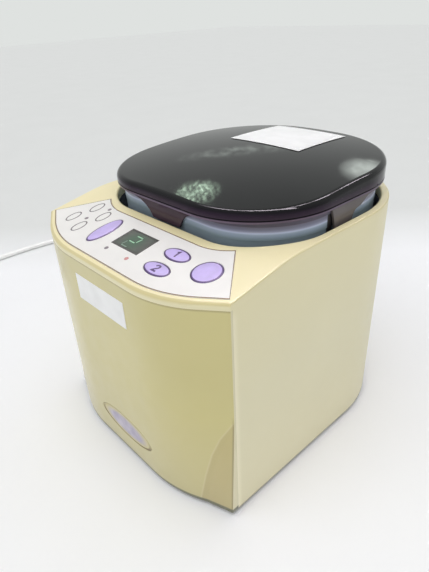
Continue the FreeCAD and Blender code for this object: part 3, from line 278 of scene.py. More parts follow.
badge_low, badge_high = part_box("front_badge")
BADGE_CENTRE = tuple((badge_low + badge_high) / 2)
BADGE_HALVES = ((badge_high.x - badge_low.x) / 2, 0.05, (badge_high.z - badge_low.z) / 2)


def facet_masks(surface):
    """Where the facets at the front's corners lie, and the line of their crease."""
    height = surface.along(2, 0.0, FACET_TOP * MM)
    reach = [(z / FACET_TOP, (width + FACET_SPARE) / FACET_SPAN) for z, width in FACET_CREASE]
    crease_at = surface.levels(height, reach + [(FACET_END, 0.0)])
    edge = CASE_HALF + FACET_SPARE
    side = surface.calc("ABSOLUTE", surface.axis(0))
    inward = surface.remap(side, edge * MM, (edge - FACET_SPAN) * MM, 0.0, 1.0)
    past = surface.calc("SUBTRACT", inward, crease_at)
    facet = surface.remap(past, -FACET_SOFT, FACET_SOFT, 1.0, 0.0)
    crease = surface.remap(surface.calc("ABSOLUTE", past), 0.0, CREASE_WIDTH, 1.0, 0.0)
    return facet, crease


# Where marks on the front start and end: painted shadow below the panel, a dark joint out to the side,
# painted shadow up from the table
LIP_SHADOW_LINE = (-0.0056, -0.0047)
SIDE_JOINT, SIDE_JOINT_TOP = (0.0986, 0.0993), (0.08, 0.09)
FRONT_FOOT_SHADOW, FRONT_FOOT_SHADOW_WIDENS, FRONT_FOOT_SHADOW_GROWTH = (0.0040, 0.0052), (0.04, 0.095), 0.0016


def front_material():
    """Gold-beige satin with dark joints at its side edges; painted shade makes the corner facets browner,
    painted highlights run along their crease and the corner edges, and painted shadow lines lie under the
    lip and at the table.
    """
    surface = Surface("front_satin", Coat_Weight=1.0, Coat_Roughness=0.25)
    up = surface.ramp(surface.along(2, 0.0, 0.17), [
        (0.0, (198, 188, 134)),
        (0.5, (204, 194, 127)),
        (1.0, (208, 198, 133)),
    ])
    facet, crease = facet_masks(surface)
    # Painted shade: the corner facets are made browner than the rest of the front.
    browner = surface.mix(1.0, up, (241, 235, 230), "MULTIPLY")
    tone = surface.mix(facet, up, browner)
    # Painted highlight: a paler line along the facets' crease.
    tone = surface.mix(surface.calc("MULTIPLY", crease, 0.24), tone, (232, 224, 184))
    # Painted shadow: a brown line on the front just below the lip.
    tone = surface.mix(surface.remap(surface.above_panel(), *LIP_SHADOW_LINE, 0.0, 0.5), tone, (146, 130, 84))
    aside = surface.calc("ABSOLUTE", surface.axis(0))
    joint = surface.remap(aside, *SIDE_JOINT, 0.0, 0.5)
    low = surface.remap(surface.axis(2), *SIDE_JOINT_TOP, 1.0, 0.0)
    tone = surface.mix(surface.calc("MULTIPLY", joint, low), tone, (120, 110, 76))
    # Painted highlight: faces turned to the side, at the corner edge, are painted paler.
    tone = surface.mix(surface.facing(0, 0.9, 0.97), tone, (222, 214, 174))
    # Painted shadow: a dark line along the foot of the front, thicker out towards the corners.
    thicker = surface.remap(aside, *FRONT_FOOT_SHADOW_WIDENS, 0.0, FRONT_FOOT_SHADOW_GROWTH)
    foot = surface.remap(surface.calc("SUBTRACT", surface.axis(2), thicker), *FRONT_FOOT_SHADOW, 0.9, 0.0)
    tone = surface.mix(foot, tone, (80, 84, 60))
    surface.paint(surface.mix(1.0, tone, surface.drift(14.0, 0.025), "MULTIPLY"))
    surface.gloss(0.42, 0.05, 90.0)
    surface.grain(2600.0, 0.06, soften=0.5 * MM)
    return surface.material


# Where the painted highlight at the upright joint starts and ends, and the painted shadow line at the table
JOINT_HIGHLIGHT_BACK, JOINT_HIGHLIGHT_TOP = (-0.0958, -0.0925), (0.158, 0.164)
HOUSING_FOOT_SHADOW = (0.0034, 0.0044)


def housing_material():
    """Cream satin, with a painted highlight along the upright joint with the front, painted light that makes
    the level deck paler, painted shade on sloping faces such as the lip's rounding, and a painted shadow
    line at the table.
    """
    surface = Surface("housing_satin")
    up = surface.ramp(surface.along(2, 0.0, 0.18), [
        (0.0, (228, 221, 186)),
        (0.55, (231, 225, 190)),
        (1.0, (236, 228, 186)),
    ])
    # Painted shade: sloping faces, such as the lip's rounding, are painted darker and yellower.
    up = surface.mix(surface.facing(2, 0.1, 0.5), up, (218, 206, 154))
    # Painted light: level faces, such as the deck, are painted paler.
    up = surface.mix(surface.facing(2, 0.9, 0.97), up, (245, 234, 188))
    # Painted highlight: a pale line along the upright joint with the front.
    joint_highlight = surface.remap(surface.axis(1), *JOINT_HIGHLIGHT_BACK, 0.6, 0.0)
    low = surface.remap(surface.axis(2), *JOINT_HIGHLIGHT_TOP, 1.0, 0.0)
    tone = surface.mix(surface.calc("MULTIPLY", joint_highlight, low), up, (250, 243, 212))
    # Painted shadow: a dark line along the foot of the casing.
    foot = surface.remap(surface.axis(2), *HOUSING_FOOT_SHADOW, 0.7, 0.0)
    tone = surface.mix(foot, tone, (104, 98, 78))
    surface.paint(surface.mix(1.0, tone, surface.drift(12.0, 0.018), "MULTIPLY"))
    surface.gloss(0.4, 0.05, 110.0)
    surface.grain(2600.0, 0.06)
    return surface.material


# Height and colour up the lid: tabs painted lighter for the light through them, a flange with a painted
# highlight, a groove with painted shade, side and dome
LID_BANDS = [
    (188.0, (86, 70, 82)),
    (190.3, (90, 74, 86)),
    (190.6, (122, 108, 126)),
    (191.6, (112, 98, 116)),
    (191.8, (12, 8, 14)),
    (192.5, (16, 10, 18)),
    (192.8, (58, 44, 60)),
    (195.2, (44, 30, 48)),
    (197.0, (20, 16, 24)),
    (199.0, (30, 31, 32)),
]
# Where the tab at the right, which catches more light, starts and ends
RIGHT_TAB, TAB_TOP = (0.084, 0.088), (0.1896, 0.1902)


def lid_material():
    """Dark smoke with a high gloss; the thin tabs are painted lighter for the light that comes through them,
    the flange has a painted highlight and the groove above it painted shade.
    """
    surface = Surface("lid_gloss", IOR=1.25)
    right = surface.along(0, *RIGHT_TAB)
    tab = surface.remap(surface.axis(2), *TAB_TOP, 1.0, 0.0)
    tone = surface.mix(surface.calc("MULTIPLY", right, tab), surface.bands(LID_BANDS), (116, 110, 110))
    surface.paint(surface.mix(1.0, tone, surface.drift(16.0, 0.16), "MULTIPLY"))
    surface.gloss(0.06, 0.02, 60.0)
    surface.grain(420.0, 0.012)
    return surface.material


# Height and colour up the container's outside, with a painted highlight as a pale ridge below the bead
CONTAINER_BANDS = [
    (150.0, (160, 176, 196)),
    (172.0, (146, 160, 174)),
    (178.8, (138, 156, 168)),
    (180.2, (152, 170, 190)),
    (181.8, (164, 182, 206)),
    (182.9, (204, 214, 242)),
    (183.9, (154, 160, 190)),
    (185.2, (128, 130, 154)),
    (187.0, (116, 114, 136)),
]
# The painted shade of a gap beside the right tab: its middle, half width, lower end, and the wall that it
# lies in
SHADOW_GAP_Y, SHADOW_GAP_HALF = 0.0008, (0.0026, 0.0036)
SHADOW_GAP_LOW, SHADOW_GAP_WALL = (0.172, 0.174), (0.086, 0.088)


def container_material():
    """Frosted plastic: blue-grey below, a painted highlight as a pale ridge, lavender at the bead and
    painted shade as a dark gap beside a tab.
    """
    surface = Surface("container_frost", Subsurface_Weight=0.2, IOR=1.45)
    surface.shader.inputs["Subsurface Radius"].default_value = (0.004, 0.004, 0.005)
    right = surface.along(0, *SHADOW_GAP_WALL)
    beside = surface.calc("ABSOLUTE", surface.calc("SUBTRACT", surface.axis(1), SHADOW_GAP_Y))
    narrow = surface.remap(beside, *SHADOW_GAP_HALF, 1.0, 0.0)
    upper = surface.along(2, *SHADOW_GAP_LOW)
    # Painted shade: a dark gap beside the right tab's steep end.
    slot = surface.calc("MULTIPLY", surface.calc("MULTIPLY", narrow, upper), right)
    tone = surface.mix(slot, surface.bands(CONTAINER_BANDS), (24, 22, 26))
    surface.paint(surface.mix(1.0, tone, surface.drift(24.0, 0.025), "MULTIPLY"))
    surface.gloss(0.4, 0.06, 160.0)
    surface.grain(1800.0, 0.08)
    return surface.material


# The lamp right of here is red
LAMP_SPLIT = (0.002, 0.0038)


def lamp_material():
    """Clear lamps in the panel: the one furthest right red, the rest smoky."""
    surface = Surface("lamp_resin", Coat_Weight=0.5)
    side = surface.along(0, *LAMP_SPLIT)
    colours = surface.ramp(side, [(0.0, (150, 138, 146)), (1.0, (236, 166, 164))])
    surface.paint(surface.mix(1.0, colours, surface.drift(500.0, 0.1), "MULTIPLY"))
    surface.gloss(0.25, 0.05, 300.0)
    surface.grain(2500.0, 0.05)
    return surface.material


# The lit figure on the display: its centre, and how far its glow reaches
FIGURE_CENTRE = (0.001, -0.0886, 0.171)
FIGURE_GLOW = (0.004, 0.011)


def window_material():
    """Smoked window, greener round the lit figure."""
    surface = Surface("display_smoke", Coat_Weight=0.4)
    lit = surface.away(FIGURE_CENTRE, *FIGURE_GLOW)
    field = surface.mix(lit, (56, 92, 67), (79, 84, 75))
    surface.paint(surface.mix(1.0, field, surface.drift(300.0, 0.08), "MULTIPLY"))
    surface.gloss(0.18, 0.04, 240.0)
    surface.grain(1500.0, 0.02)
    return surface.material


def badge_material():
    """Silver-lavender in the middle, the front's own tone towards the rim and painted shade as a dark line
    along the lower rim.
    """
    surface = Surface("badge_plate")
    away = surface.oval(BADGE_CENTRE, BADGE_HALVES)
    silver = surface.ramp(surface.noise(110.0), [(0.35, (172, 166, 188)), (0.65, (196, 190, 206))])
    tone = surface.mix(surface.remap(away, 0.6, 0.9, 0.0, 1.0), silver, (204, 194, 146))
    rim = surface.remap(away, 0.9, 0.94, 0.0, 1.0)
    low = surface.remap(surface.axis(2), BADGE_CENTRE[2] - 0.003, BADGE_CENTRE[2] + 0.004, 0.85, 0.1)
    # Painted shade: the rim is darkened mostly on its lower half.
    surface.paint(surface.mix(surface.calc("MULTIPLY", rim, low), tone, (112, 92, 62)))
    surface.gloss(0.4, 0.05, 200.0)
    surface.grain(2400.0, 0.03)
    return surface.material


def brushed(name, colour, roughness, stretch):
    """Metal with fine lines along one axis."""
    surface = Surface(name, Metallic=1.0)
    lines = surface.noise(60.0, 4.0, stretch)
    surface.paint(surface.ramp(lines, [(0.3, shaded(colour, 0.9)), (0.7, shaded(colour, 1.04))]))
    surface.gloss(roughness, 0.08, 150.0)
    surface.grain(160.0, 0.12, stretch)
    return surface.material


def fibre(name, colour):
    """Felted fibre for the pad under the heater."""
    surface = Surface(name, Sheen_Weight=0.3)
    dark, light = shaded(colour, 0.8), shaded(colour, 1.08)
    surface.paint(surface.ramp(surface.noise(420.0, 6.0), [(0.25, dark), (0.75, light)]))
    surface.gloss(0.9, 0.06, 500.0)
    surface.grain(900.0, 0.6, (1.0, 1.0, 4.0))
    return surface.material


paints = {
    "front": front_material(),
    "housing": housing_material(),
    "panel": plain("panel_film", (243, 241, 238), 0.35, 0.015, 60.0, 3000.0, 0.05),
    "display": window_material(),
    "digits": plain("display_block", (46, 45, 38), 0.4, 0.08, 200.0, 2000.0, 0.05),
    "key": plain("key_soft", (199, 181, 238), 0.5, 0.05, 160.0, 2200.0, 0.1, Sheen_Weight=0.15),
    "lamp": lamp_material(),
    "lid": lid_material(),
    "container": container_material(),
    # Painted shade: the silicone is a dark lavender for the shade it sits in under the lid.
    "gasket": plain("silicone", (92, 86, 104), 0.55, 0.04, 120.0, 1400.0, 0.12, Subsurface_Weight=0.1),
    "foot": plain("foot_rubber", (48, 47, 47), 0.75, 0.12, 150.0, 1100.0, 0.3),
    "label": plain("label_film", (244, 245, 245), 0.5, 0.025, 90.0, 2600.0, 0.06),
    "badge": badge_material(),
    "base": plain("base_texture", (150, 146, 128), 0.6, 0.05, 60.0, 800.0, 0.35),
    "chamber": brushed("chamber_aluminium", (205, 207, 209), 0.35, (1.0, 1.0, 12.0)),
    "plate": plain("cast_aluminium", (186, 188, 190), 0.5, 0.08, 150.0, 700.0, 0.4, Metallic=1.0),
    "element": plain("element_sheath", (118, 112, 106), 0.55, 0.18, 120.0, 900.0, 0.3, Metallic=1.0),
    "pan": brushed("zinc_sheet", (190, 193, 196), 0.4, (10.0, 1.0, 1.0)),
    "insulation": fibre("insulation_felt", (226, 220, 198)),
    "screw": brushed("screw_zinc", (184, 184, 188), 0.35, (1.0, 8.0, 1.0)),
    "board": plain("board_laminate", (46, 108, 66), 0.4, 0.12, 220.0, 1500.0, 0.12, Coat_Weight=0.3),
    "switch": plain("switch_black", (52, 52, 55), 0.5, 0.1, 300.0, 1800.0, 0.15),
    "sensor": brushed("sensor_brass", (206, 168, 92), 0.3, (1.0, 1.0, 10.0)),
    "clip": brushed("clip_spring", (182, 182, 186), 0.32, (8.0, 1.0, 1.0)),
    "fuse_body": plain("fuse_glaze", (228, 225, 214), 0.25, 0.05, 400.0, 2000.0, 0.05, Coat_Weight=0.4),
    "core": plain("core_varnish", (84, 80, 82), 0.45, 0.18, 260.0, 1400.0, 0.3, Metallic=0.6),
    "relay": plain("relay_case", (70, 96, 160), 0.35, 0.08, 300.0, 1600.0, 0.1),
    "terminal": plain("terminal_moulding", (230, 226, 212), 0.5, 0.05, 260.0, 1600.0, 0.12),
    "wire": plain("wire_sheath", (226, 226, 228), 0.5, 0.05, 200.0, 1600.0, 0.12),
    "cord": plain("cord_sheath", (246, 247, 246), 0.5, 0.02, 60.0, 1500.0, 0.05),
    "tie": plain("tie_strip", (58, 58, 61), 0.55, 0.1, 260.0, 1700.0, 0.25),
    "blade": brushed("blade_nickel", (214, 204, 178), 0.25, (1.0, 10.0, 1.0)),
}
ink_purple = plain("ink_purple", (82, 58, 116), 0.45, 0.1, 300.0, 2500.0, 0.05)
ink_grey = plain("ink_grey", (84, 76, 80), 0.45, 0.1, 300.0, 2500.0, 0.05)
# Print and painted shade: the brown of the line round the key panel's sheet.
print_and_shade_brown = plain("print_and_shade_brown", (122, 100, 70), 0.5, 0.1, 200.0, 2500.0, 0.05)
digit_lit = plain("digit_lit", (164, 218, 178), 0.35, 0.1, 400.0, 2000.0, 0.05)
digit_dim = plain("digit_dim", (122, 148, 130), 0.35, 0.1, 400.0, 2000.0, 0.05)

for subpart in frame["record"]["subparts"]:
    mesh = nodes[subpart["node"]].data
    mesh.materials.clear()
    mesh.materials.append(paints[subpart["material_slot"]])


# Piece helpers


def add_piece(name, mesh_or_curve, material, body, replaces=()):
    piece = bpy.data.objects.new(name, mesh_or_curve)
    scene.collection.objects.link(piece)
    for one in material if isinstance(material, list) else [material]:
        mesh_or_curve.materials.append(one)
    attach(piece, body)
    if replaces:
        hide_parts(*replaces)
    return piece


def mesh_from(name, builder, smooth_angle=40.0):
    """A mesh filled by a builder that works on a bmesh, smooth except at sharp edges."""
    mesh = bpy.data.meshes.new(name)
    work = bmesh.new()
    builder(work)
    bmesh.ops.recalc_face_normals(work, faces=work.faces)
    for face in work.faces:
        face.smooth = True
    for edge in work.edges:
        if len(edge.link_faces) == 2 and edge.calc_face_angle() > math.radians(smooth_angle):
            edge.smooth = False
    work.to_mesh(mesh)
    work.free()
    return mesh


def skin(work, rings, closed=False, paint=None):
    """Faces between rings of points, capped unless the rings close; paint gives a material per band."""
    made = [[work.verts.new(place) for place in ring] for ring in rings]
    pairs = list(zip(made, made[1:]))
    if closed:
        pairs.append((made[-1], made[0]))
    for band, (low, high) in enumerate(pairs):
        for i in range(len(low)):
            j = (i + 1) % len(low)
            face = work.faces.new((low[i], low[j], high[j], high[i]))
            face.material_index = paint(band) if paint else 0
    if not closed:
        work.faces.new(made[0])
        work.faces.new(made[-1])


def ellipse(centre, half_x, half_y, count=72):
    turns = (2 * math.pi * i / count for i in range(count))
    return [(centre[0] + half_x * math.cos(t), centre[1] + half_y * math.sin(t)) for t in turns]


# Print and keys on the panel: millimetres on the slope from the display's centre

FILM_TOP = 0.3
# How far print reaches into the film and stands out of it
INK_SINK, INK_RISE, THIN_INK_RISE = 0.05, 0.04, 0.03


def on_panel(x, y, lift):
    return Vector((
        x,
        PANEL_Y + y * math.cos(PANEL_ANGLE) - lift * math.sin(PANEL_ANGLE),
        PANEL_Z + y * math.sin(PANEL_ANGLE) + lift * math.cos(PANEL_ANGLE),
    )) * MM


def print_ring(work, outer, inner, lift=INK_RISE):
    """A closed line of ink on the panel between two outlines."""
    low, high = FILM_TOP - INK_SINK, FILM_TOP + lift
    rings = [(outer, low), (outer, high), (inner, high), (inner, low)]
    skin(work, [[on_panel(x, y, z) for x, y in loop] for loop, z in rings], closed=True)


KEYS = {
    "key_cancel": ((68.9, 2.9), (9.75, 9.75)),
    "key_start_1": ((39.9, 4.8), (11.0, 5.75)),
    "key_start_2": ((39.9, -11.5), (11.0, 5.75)),
    "key_menu": ((-30.8, -2.7), (7.0, 15.0)),
}
# A key from its skirt over the printed rim to the crown: inset from its outline, height
KEY_PROFILE = [(0.0, -2.6), (0.0, 0.25), (0.15, 0.45), (0.5, 0.56), (1.05, 0.6), (1.15, 0.64), (2.0, 0.74)]
KEY_RIM_BANDS = 4
# How much the crown rises from its edge to its middle, and the shares of it that get a ring
KEY_CROWN, CROWN_SHARES = 0.3, (0.75, 0.5, 0.25, 0.08)


def key_builder(centre, halves):
    def build(work):
        rings = []
        for inset, height in KEY_PROFILE:
            loop = ellipse(centre, halves[0] - inset, halves[1] - inset)
            rings.append([on_panel(x, y, height) for x, y in loop])
        inset, height = KEY_PROFILE[-1]
        for share in CROWN_SHARES:
            loop = ellipse(centre, (halves[0] - inset) * share, (halves[1] - inset) * share)
            crown = height + KEY_CROWN * (1 - share**2)
            rings.append([on_panel(x, y, crown) for x, y in loop])
        skin(work, rings, paint=lambda band: 1 if band < KEY_RIM_BANDS else 0)

    return build


for name, (centre, halves) in KEYS.items():
    mesh = mesh_from(f"{name}_soft", key_builder(centre, halves))
    add_piece(f"{name}_soft", mesh, [paints["key"], ink_purple], name, [name])

# Plain numerals on the two start keys, as strokes from the key's centre
NUMERALS = {
    "key_start_1": [(-1.2, 1.6), (0.3, 2.7), (0.3, -2.7)],
    "key_start_2": [
        (-1.7, 1.3), (-1.2, 2.3), (0.0, 2.7), (1.2, 2.3), (1.6, 1.3), (1.2, 0.3), (-1.8, -2.6), (1.9, -2.6),
    ],
}
NUMERAL_HALF, NUMERAL_RISE, NUMERAL_STEPS = 0.62, 0.06, 4


def numeral_builder(name):
    centre, halves = KEYS[name]
    inset, edge_height = KEY_PROFILE[-1]

    def on_crown(place, lift):
        share = math.hypot(place.x / (halves[0] - inset), place.y / (halves[1] - inset))
        height = edge_height + KEY_CROWN * (1 - share**2) + lift
        return on_panel(centre[0] + place.x, centre[1] + place.y, height)

    def build(work):
        corners = [Vector(place) for place in NUMERALS[name]]
        shares = [step / NUMERAL_STEPS for step in range(NUMERAL_STEPS)]
        line = [a.lerp(b, share) for a, b in zip(corners, corners[1:]) for share in shares] + corners[-1:]
        rings = []
        for i, place in enumerate(line):
            before = (place - line[i - 1]).normalized() if i else (line[1] - place).normalized()
            after = (line[i + 1] - place).normalized() if i + 1 < len(line) else before
            along = (before + after).normalized()
            across = Vector((-along.y, along.x)) * NUMERAL_HALF / max(0.5, along.dot(before))
            left, right = place + across, place - across
            corner_lifts = [(left, -1), (left, 1), (right, 1), (right, -1)]
            rings.append([on_crown(corner, NUMERAL_RISE * way) for corner, way in corner_lifts])
        skin(work, rings)

    return build


for name in NUMERALS:
    numeral = mesh_from(f"{name}_numeral", numeral_builder(name))
    add_piece(f"{name}_numeral", numeral, ink_purple, name)

# Printed ovals at the left: their centres, and the halves of the line's outer and inner edge
OVALS = [(-72.4, -4.1), (-66.2, 13.4), (-54.8, -9.9), (-49.0, 7.7)]
OVAL_OUTER, OVAL_INNER = (4.3, 6.8), (3.4, 5.9)


def oval_outlines(work):
    for centre in OVALS:
        print_ring(work, ellipse(centre, *OVAL_OUTER), ellipse(centre, *OVAL_INNER))


add_piece("oval_outlines", mesh_from("oval_outlines", oval_outlines), ink_grey, "casing")


def arc_points(centre, radius, start_deg, end_deg, count=16):
    angles = (math.radians(start_deg + (end_deg - start_deg) * i / count) for i in range(count + 1))
    return [(centre[0] + radius * math.cos(a), centre[1] + radius * math.sin(a)) for a in angles]


# The printed sheet's outline: a straight front with an arc and a wing to each end, a hollow arc behind
SHEET_FRONT_Y, SHEET_ARC_X, SHEET_ARC_RADIUS, SHEET_WING_DEG = -27.514, 35.0, 95.85, 29.0
SHEET_END_X = 97.0
SHEET_REAR_Y, SHEET_REAR_X, SHEET_REAR_RADIUS, SHEET_REAR_REACH = 19.52, 43.0, 42.0, 25.0
# The brown line round the sheet, partly print and partly painted shade of the gap round the recessed sheet:
# insets of its outer and inner edge
SHEET_LINE = (0.05, 0.85)


def panel_outline(inset):
    """The outline of the printed sheet, moved in by inset."""
    wing = math.radians(SHEET_WING_DEG)
    radius = SHEET_ARC_RADIUS - inset
    centre_y = SHEET_FRONT_Y + inset + radius
    knee = (SHEET_ARC_X + radius * math.sin(wing), centre_y - radius * math.cos(wing))
    end_x = SHEET_END_X - inset
    end = (end_x, knee[1] + (end_x - knee[0]) * math.tan(wing))
    rear_radius = SHEET_REAR_RADIUS + inset
    rear_centre = (SHEET_REAR_X, SHEET_REAR_Y - inset + rear_radius)
    lean = math.degrees(math.asin(SHEET_REAR_REACH / rear_radius))
    right = arc_points((SHEET_ARC_X, centre_y), radius, -90, -90 + SHEET_WING_DEG) + [end]
    right += arc_points(rear_centre, rear_radius, -90 + lean, -90)
    left = [(-x, y) for x, y in reversed(right)]
    return right + left


def panel_edge(work):
    outer, inner = (panel_outline(inset) for inset in SHEET_LINE)
    print_ring(work, outer, inner, THIN_INK_RISE)


add_piece("panel_edge_line", mesh_from("panel_edge_line", panel_edge), print_and_shade_brown, "casing")

# A plain figure on the display: strokes of a seven-segment 2, leaning a little
DIGIT_LEAN, DIGIT_X, DIGIT_HALF = 0.2, 0.4, 0.45
DIGIT_LIT = [((-3.0, 4.9), (3.0, 4.9)), ((3.6, 4.3), (3.6, -0.8)), ((-3.0, -1.4), (3.0, -1.4))]
DIGIT_DIM = [((-3.6, -2.0), (-3.6, -6.6)), ((-3.0, -7.2), (3.0, -7.2))]


def strokes(lines):
    def build(work):
        for start, end in lines:
            first, last = Vector(start), Vector(end)
            along = (last - first).normalized()
            across = Vector((-along.y, along.x))
            shape = [
                first,
                first + (along - across) * DIGIT_HALF,
                last - (along + across) * DIGIT_HALF,
                last,
                last - (along - across) * DIGIT_HALF,
                first + (along + across) * DIGIT_HALF,
            ]
            rings = []
            for lift in (FILM_TOP - INK_SINK, FILM_TOP + THIN_INK_RISE):
                rings.append([on_panel(p.x + DIGIT_X + DIGIT_LEAN * p.y, p.y, lift) for p in shape])
            skin(work, rings)

    return build


for name, lines, ink in (
    ("display_digit", DIGIT_LIT, digit_lit),
    ("display_digit_dim", DIGIT_DIM, digit_dim),
):
    add_piece(name, mesh_from(name, strokes(lines)), ink, "casing")

# The dark line round the display: its centre and halves, and the insets of its edges
WINDOW_X, WINDOW_HALVES, WINDOW_LINE = 1.7, (14.4, 9.5), (-0.1, 1.4)


def window_frame(work):
    def corners(inset):
        half_x, half_y = (half - inset for half in WINDOW_HALVES)
        return [(WINDOW_X + i * half_x, j * half_y) for i, j in ((-1, -1), (1, -1), (1, 1), (-1, 1))]

    outer, inner = (corners(inset) for inset in WINDOW_LINE)
    print_ring(work, outer, inner, THIN_INK_RISE)


frame_line = mesh_from("window_frame_line", window_frame)
add_piece("window_frame_line", frame_line, paints["digits"], "casing")


# Badge low on the bow: a blank oval plate with a raised edge

# From its back over the edge to the plate: inset from the outline, depth behind the face
BADGE_PROFILE = [
    (0.0, 0.8), (0.0, 0.05), (0.12, -0.06), (0.4, -0.1), (0.75, -0.05), (0.95, 0.06), (1.6, 0.08),
]
BADGE_CROWN, BADGE_SHARES, BADGE_POINTS = 0.15, (0.7, 0.4, 0.12), 96


def badge_plate(work):
    centre = (BADGE_CENTRE[0], BADGE_CENTRE[2])
    face = badge_low.y
    rings = []

    def add_ring(inset, depth, share):
        half_x, half_z = ((BADGE_HALVES[i] - inset * MM) * share for i in (0, 2))
        loop = ellipse(centre, half_x, half_z, BADGE_POINTS)
        rings.append([Vector((x, face + depth * MM, z)) for x, z in loop])

    for inset, depth in BADGE_PROFILE:
        add_ring(inset, depth, 1.0)
    inset, depth = BADGE_PROFILE[-1]
    for share in BADGE_SHARES:
        add_ring(inset, depth - BADGE_CROWN * (1 - share**2), share)
    skin(work, rings)


badge = mesh_from("badge_oval", badge_plate)
add_piece("badge_oval", badge, paints["badge"], "casing", ["front_badge"])


# Mains cord: one smooth line through the route's points and on into the coil

CORD_RADIUS = 3.3
CORD_ROUTE = [
    (0.0, 149.75, 18.0),
    (0.0, 178.0, 18.0),
    (-12.0, 207.0, 8.5),
    (-47.0, 226.0, 3.4),
    (-95.0, 225.0, 3.4),
    (-150.0, 209.0, 3.4),
    (-208.0, 186.0, 3.4),
    (-265.0, 160.0, 3.4),
    (-322.0, 130.0, 3.4),
    (-374.0, 94.0, 3.4),
    (-412.0, 50.0, 3.4),
    (-421.0, -5.0, 3.4),
    (-421.0, -58.0, 3.4),
    (-418.775, -96.0, 4.4),
    (-418.775, -128.4, 4.4),
]
COIL_CENTRE = (-380.0, -135.0)
COIL_OUTER, COIL_INNER, COIL_PITCH = 38.775, 27.225, 8.4
COIL_LAYER_TURNS, COIL_CLIMB_TURNS = 1.375, 0.5
COIL_LOW, COIL_RISE, COIL_TAIL = 4.4, 7.1, 36.0
COIL_POINTS_A_TURN = 20


def coil_point(turns):
    layer, climb = COIL_LAYER_TURNS, COIL_CLIMB_TURNS
    angle = math.pi + 2 * math.pi * turns
    if turns <= layer:
        radius, rise = COIL_OUTER - COIL_PITCH * turns, 0.0
    elif turns <= layer + climb:
        radius, rise = COIL_INNER, COIL_RISE * (turns - layer) / climb
    else:
        radius, rise = COIL_INNER + COIL_PITCH * (turns - layer - climb), COIL_RISE
    return (
        COIL_CENTRE[0] + radius * math.cos(angle),
        COIL_CENTRE[1] + radius * math.sin(angle),
        COIL_LOW + rise,
    )


def make_cord():
    turns = 2 * COIL_LAYER_TURNS + COIL_CLIMB_TURNS
    count = round(turns * COIL_POINTS_A_TURN)
    points = list(CORD_ROUTE) + [coil_point(turns * i / count) for i in range(1, count + 1)]
    last, before = Vector(points[-1]), Vector(coil_point(turns - 0.002))
    heading = (last - before).normalized()
    points.append(tuple(last + heading * COIL_TAIL * 0.5))
    points.append(tuple(last + heading * COIL_TAIL))
    curve = bpy.data.curves.new("mains_cord", "CURVE")
    curve.dimensions = "3D"
    curve.bevel_depth = CORD_RADIUS * MM
    curve.bevel_resolution = 5
    curve.resolution_u = 6
    curve.use_fill_caps = True
    spline = curve.splines.new("NURBS")
    spline.points.add(len(points) - 1)
    for target, place in zip(spline.points, points):
        target.co = (*(value * MM for value in place), 1.0)
    spline.order_u = 3
    spline.use_endpoint_u = True
    piece = add_piece("mains_cord", curve, paints["cord"], "casing", ["power_cord", "cord_coil"])
    return piece, last + heading * COIL_TAIL, heading


cord, plug_place, plug_heading = make_cord()


# Plug: a rounded body that widens from the cord, with grip grooves and a flat face for the blades

PLUG_HALF_WIDTH, PLUG_HALF_HEIGHT = 12.0, 11.2
# Distance from the cord's end, share of the half width, share of the half height
PLUG_STATIONS = [
    (0.0, 0.42, 0.42), (0.4, 0.5, 0.5), (2.0, 0.6, 0.6), (5.0, 0.78, 0.76), (8.0, 0.92, 0.9),
    (9.2, 0.94, 0.92), (9.8, 0.89, 0.87), (11.2, 0.89, 0.87), (11.8, 0.96, 0.94),
    (13.4, 0.97, 0.95), (14.0, 0.91, 0.89), (15.4, 0.91, 0.89), (16.0, 0.98, 0.97),
    (17.6, 0.99, 0.98), (18.2, 0.93, 0.92), (19.6, 0.93, 0.92), (20.2, 1.0, 0.99),
    (26.0, 1.0, 1.0), (29.2, 1.0, 1.0), (29.8, 0.98, 0.98), (30.0, 0.95, 0.95),
]


def rounded_section(half_width, half_height, count=56):
    """Points round a section between an ellipse and a box."""
    places = []
    for i in range(count):
        turn = 2 * math.pi * i / count
        across, up = math.cos(turn), math.sin(turn)
        places.append((
            half_width * math.copysign(abs(across) ** 0.5, across),
            half_height * math.copysign(abs(up) ** 0.5, up),
        ))
    return places


def plug_body(work):
    ahead = Vector((plug_heading.x, plug_heading.y, 0.0)).normalized()
    aside = Vector((-ahead.y, ahead.x, 0.0))
    rings = []
    for reach, wide, high in PLUG_STATIONS:
        middle = plug_place + ahead * reach
        section = rounded_section(PLUG_HALF_WIDTH * wide, PLUG_HALF_HEIGHT * high)
        rings.append([(middle + aside * a + Vector((0, 0, b))) * MM for a, b in section])
    skin(work, rings)


plug_mesh = mesh_from("plug_body", plug_body, 50.0)
plug = add_piece("plug_body", plug_mesh, paints["cord"], "casing", ["cord_plug"])


# Bushing where the cord leaves the casing: nut, neck, flange and a ribbed sleeve

BUSHING_Z = 18.0
# Distance back from the middle of the casing, radius
BUSHING_PROFILE = [
    (115.25, 4.0), (115.25, 7.6), (115.65, 8.0), (117.25, 8.0), (117.25, 5.8), (119.75, 5.8),
    (119.75, 8.7), (120.05, 9.0), (121.4, 9.0), (121.75, 8.7), (121.75, 7.0),
]
SLEEVE_START, SLEEVE_END, SLEEVE_RIBS = 121.75, 149.75, 7
SLEEVE_RADIUS, SLEEVE_TAPER, SLEEVE_CORE, SLEEVE_HOLE = 7.0, 2.3, 4.0, 3.5
RIB_DEPTH, RIB_ROUND = 1.1, 0.2


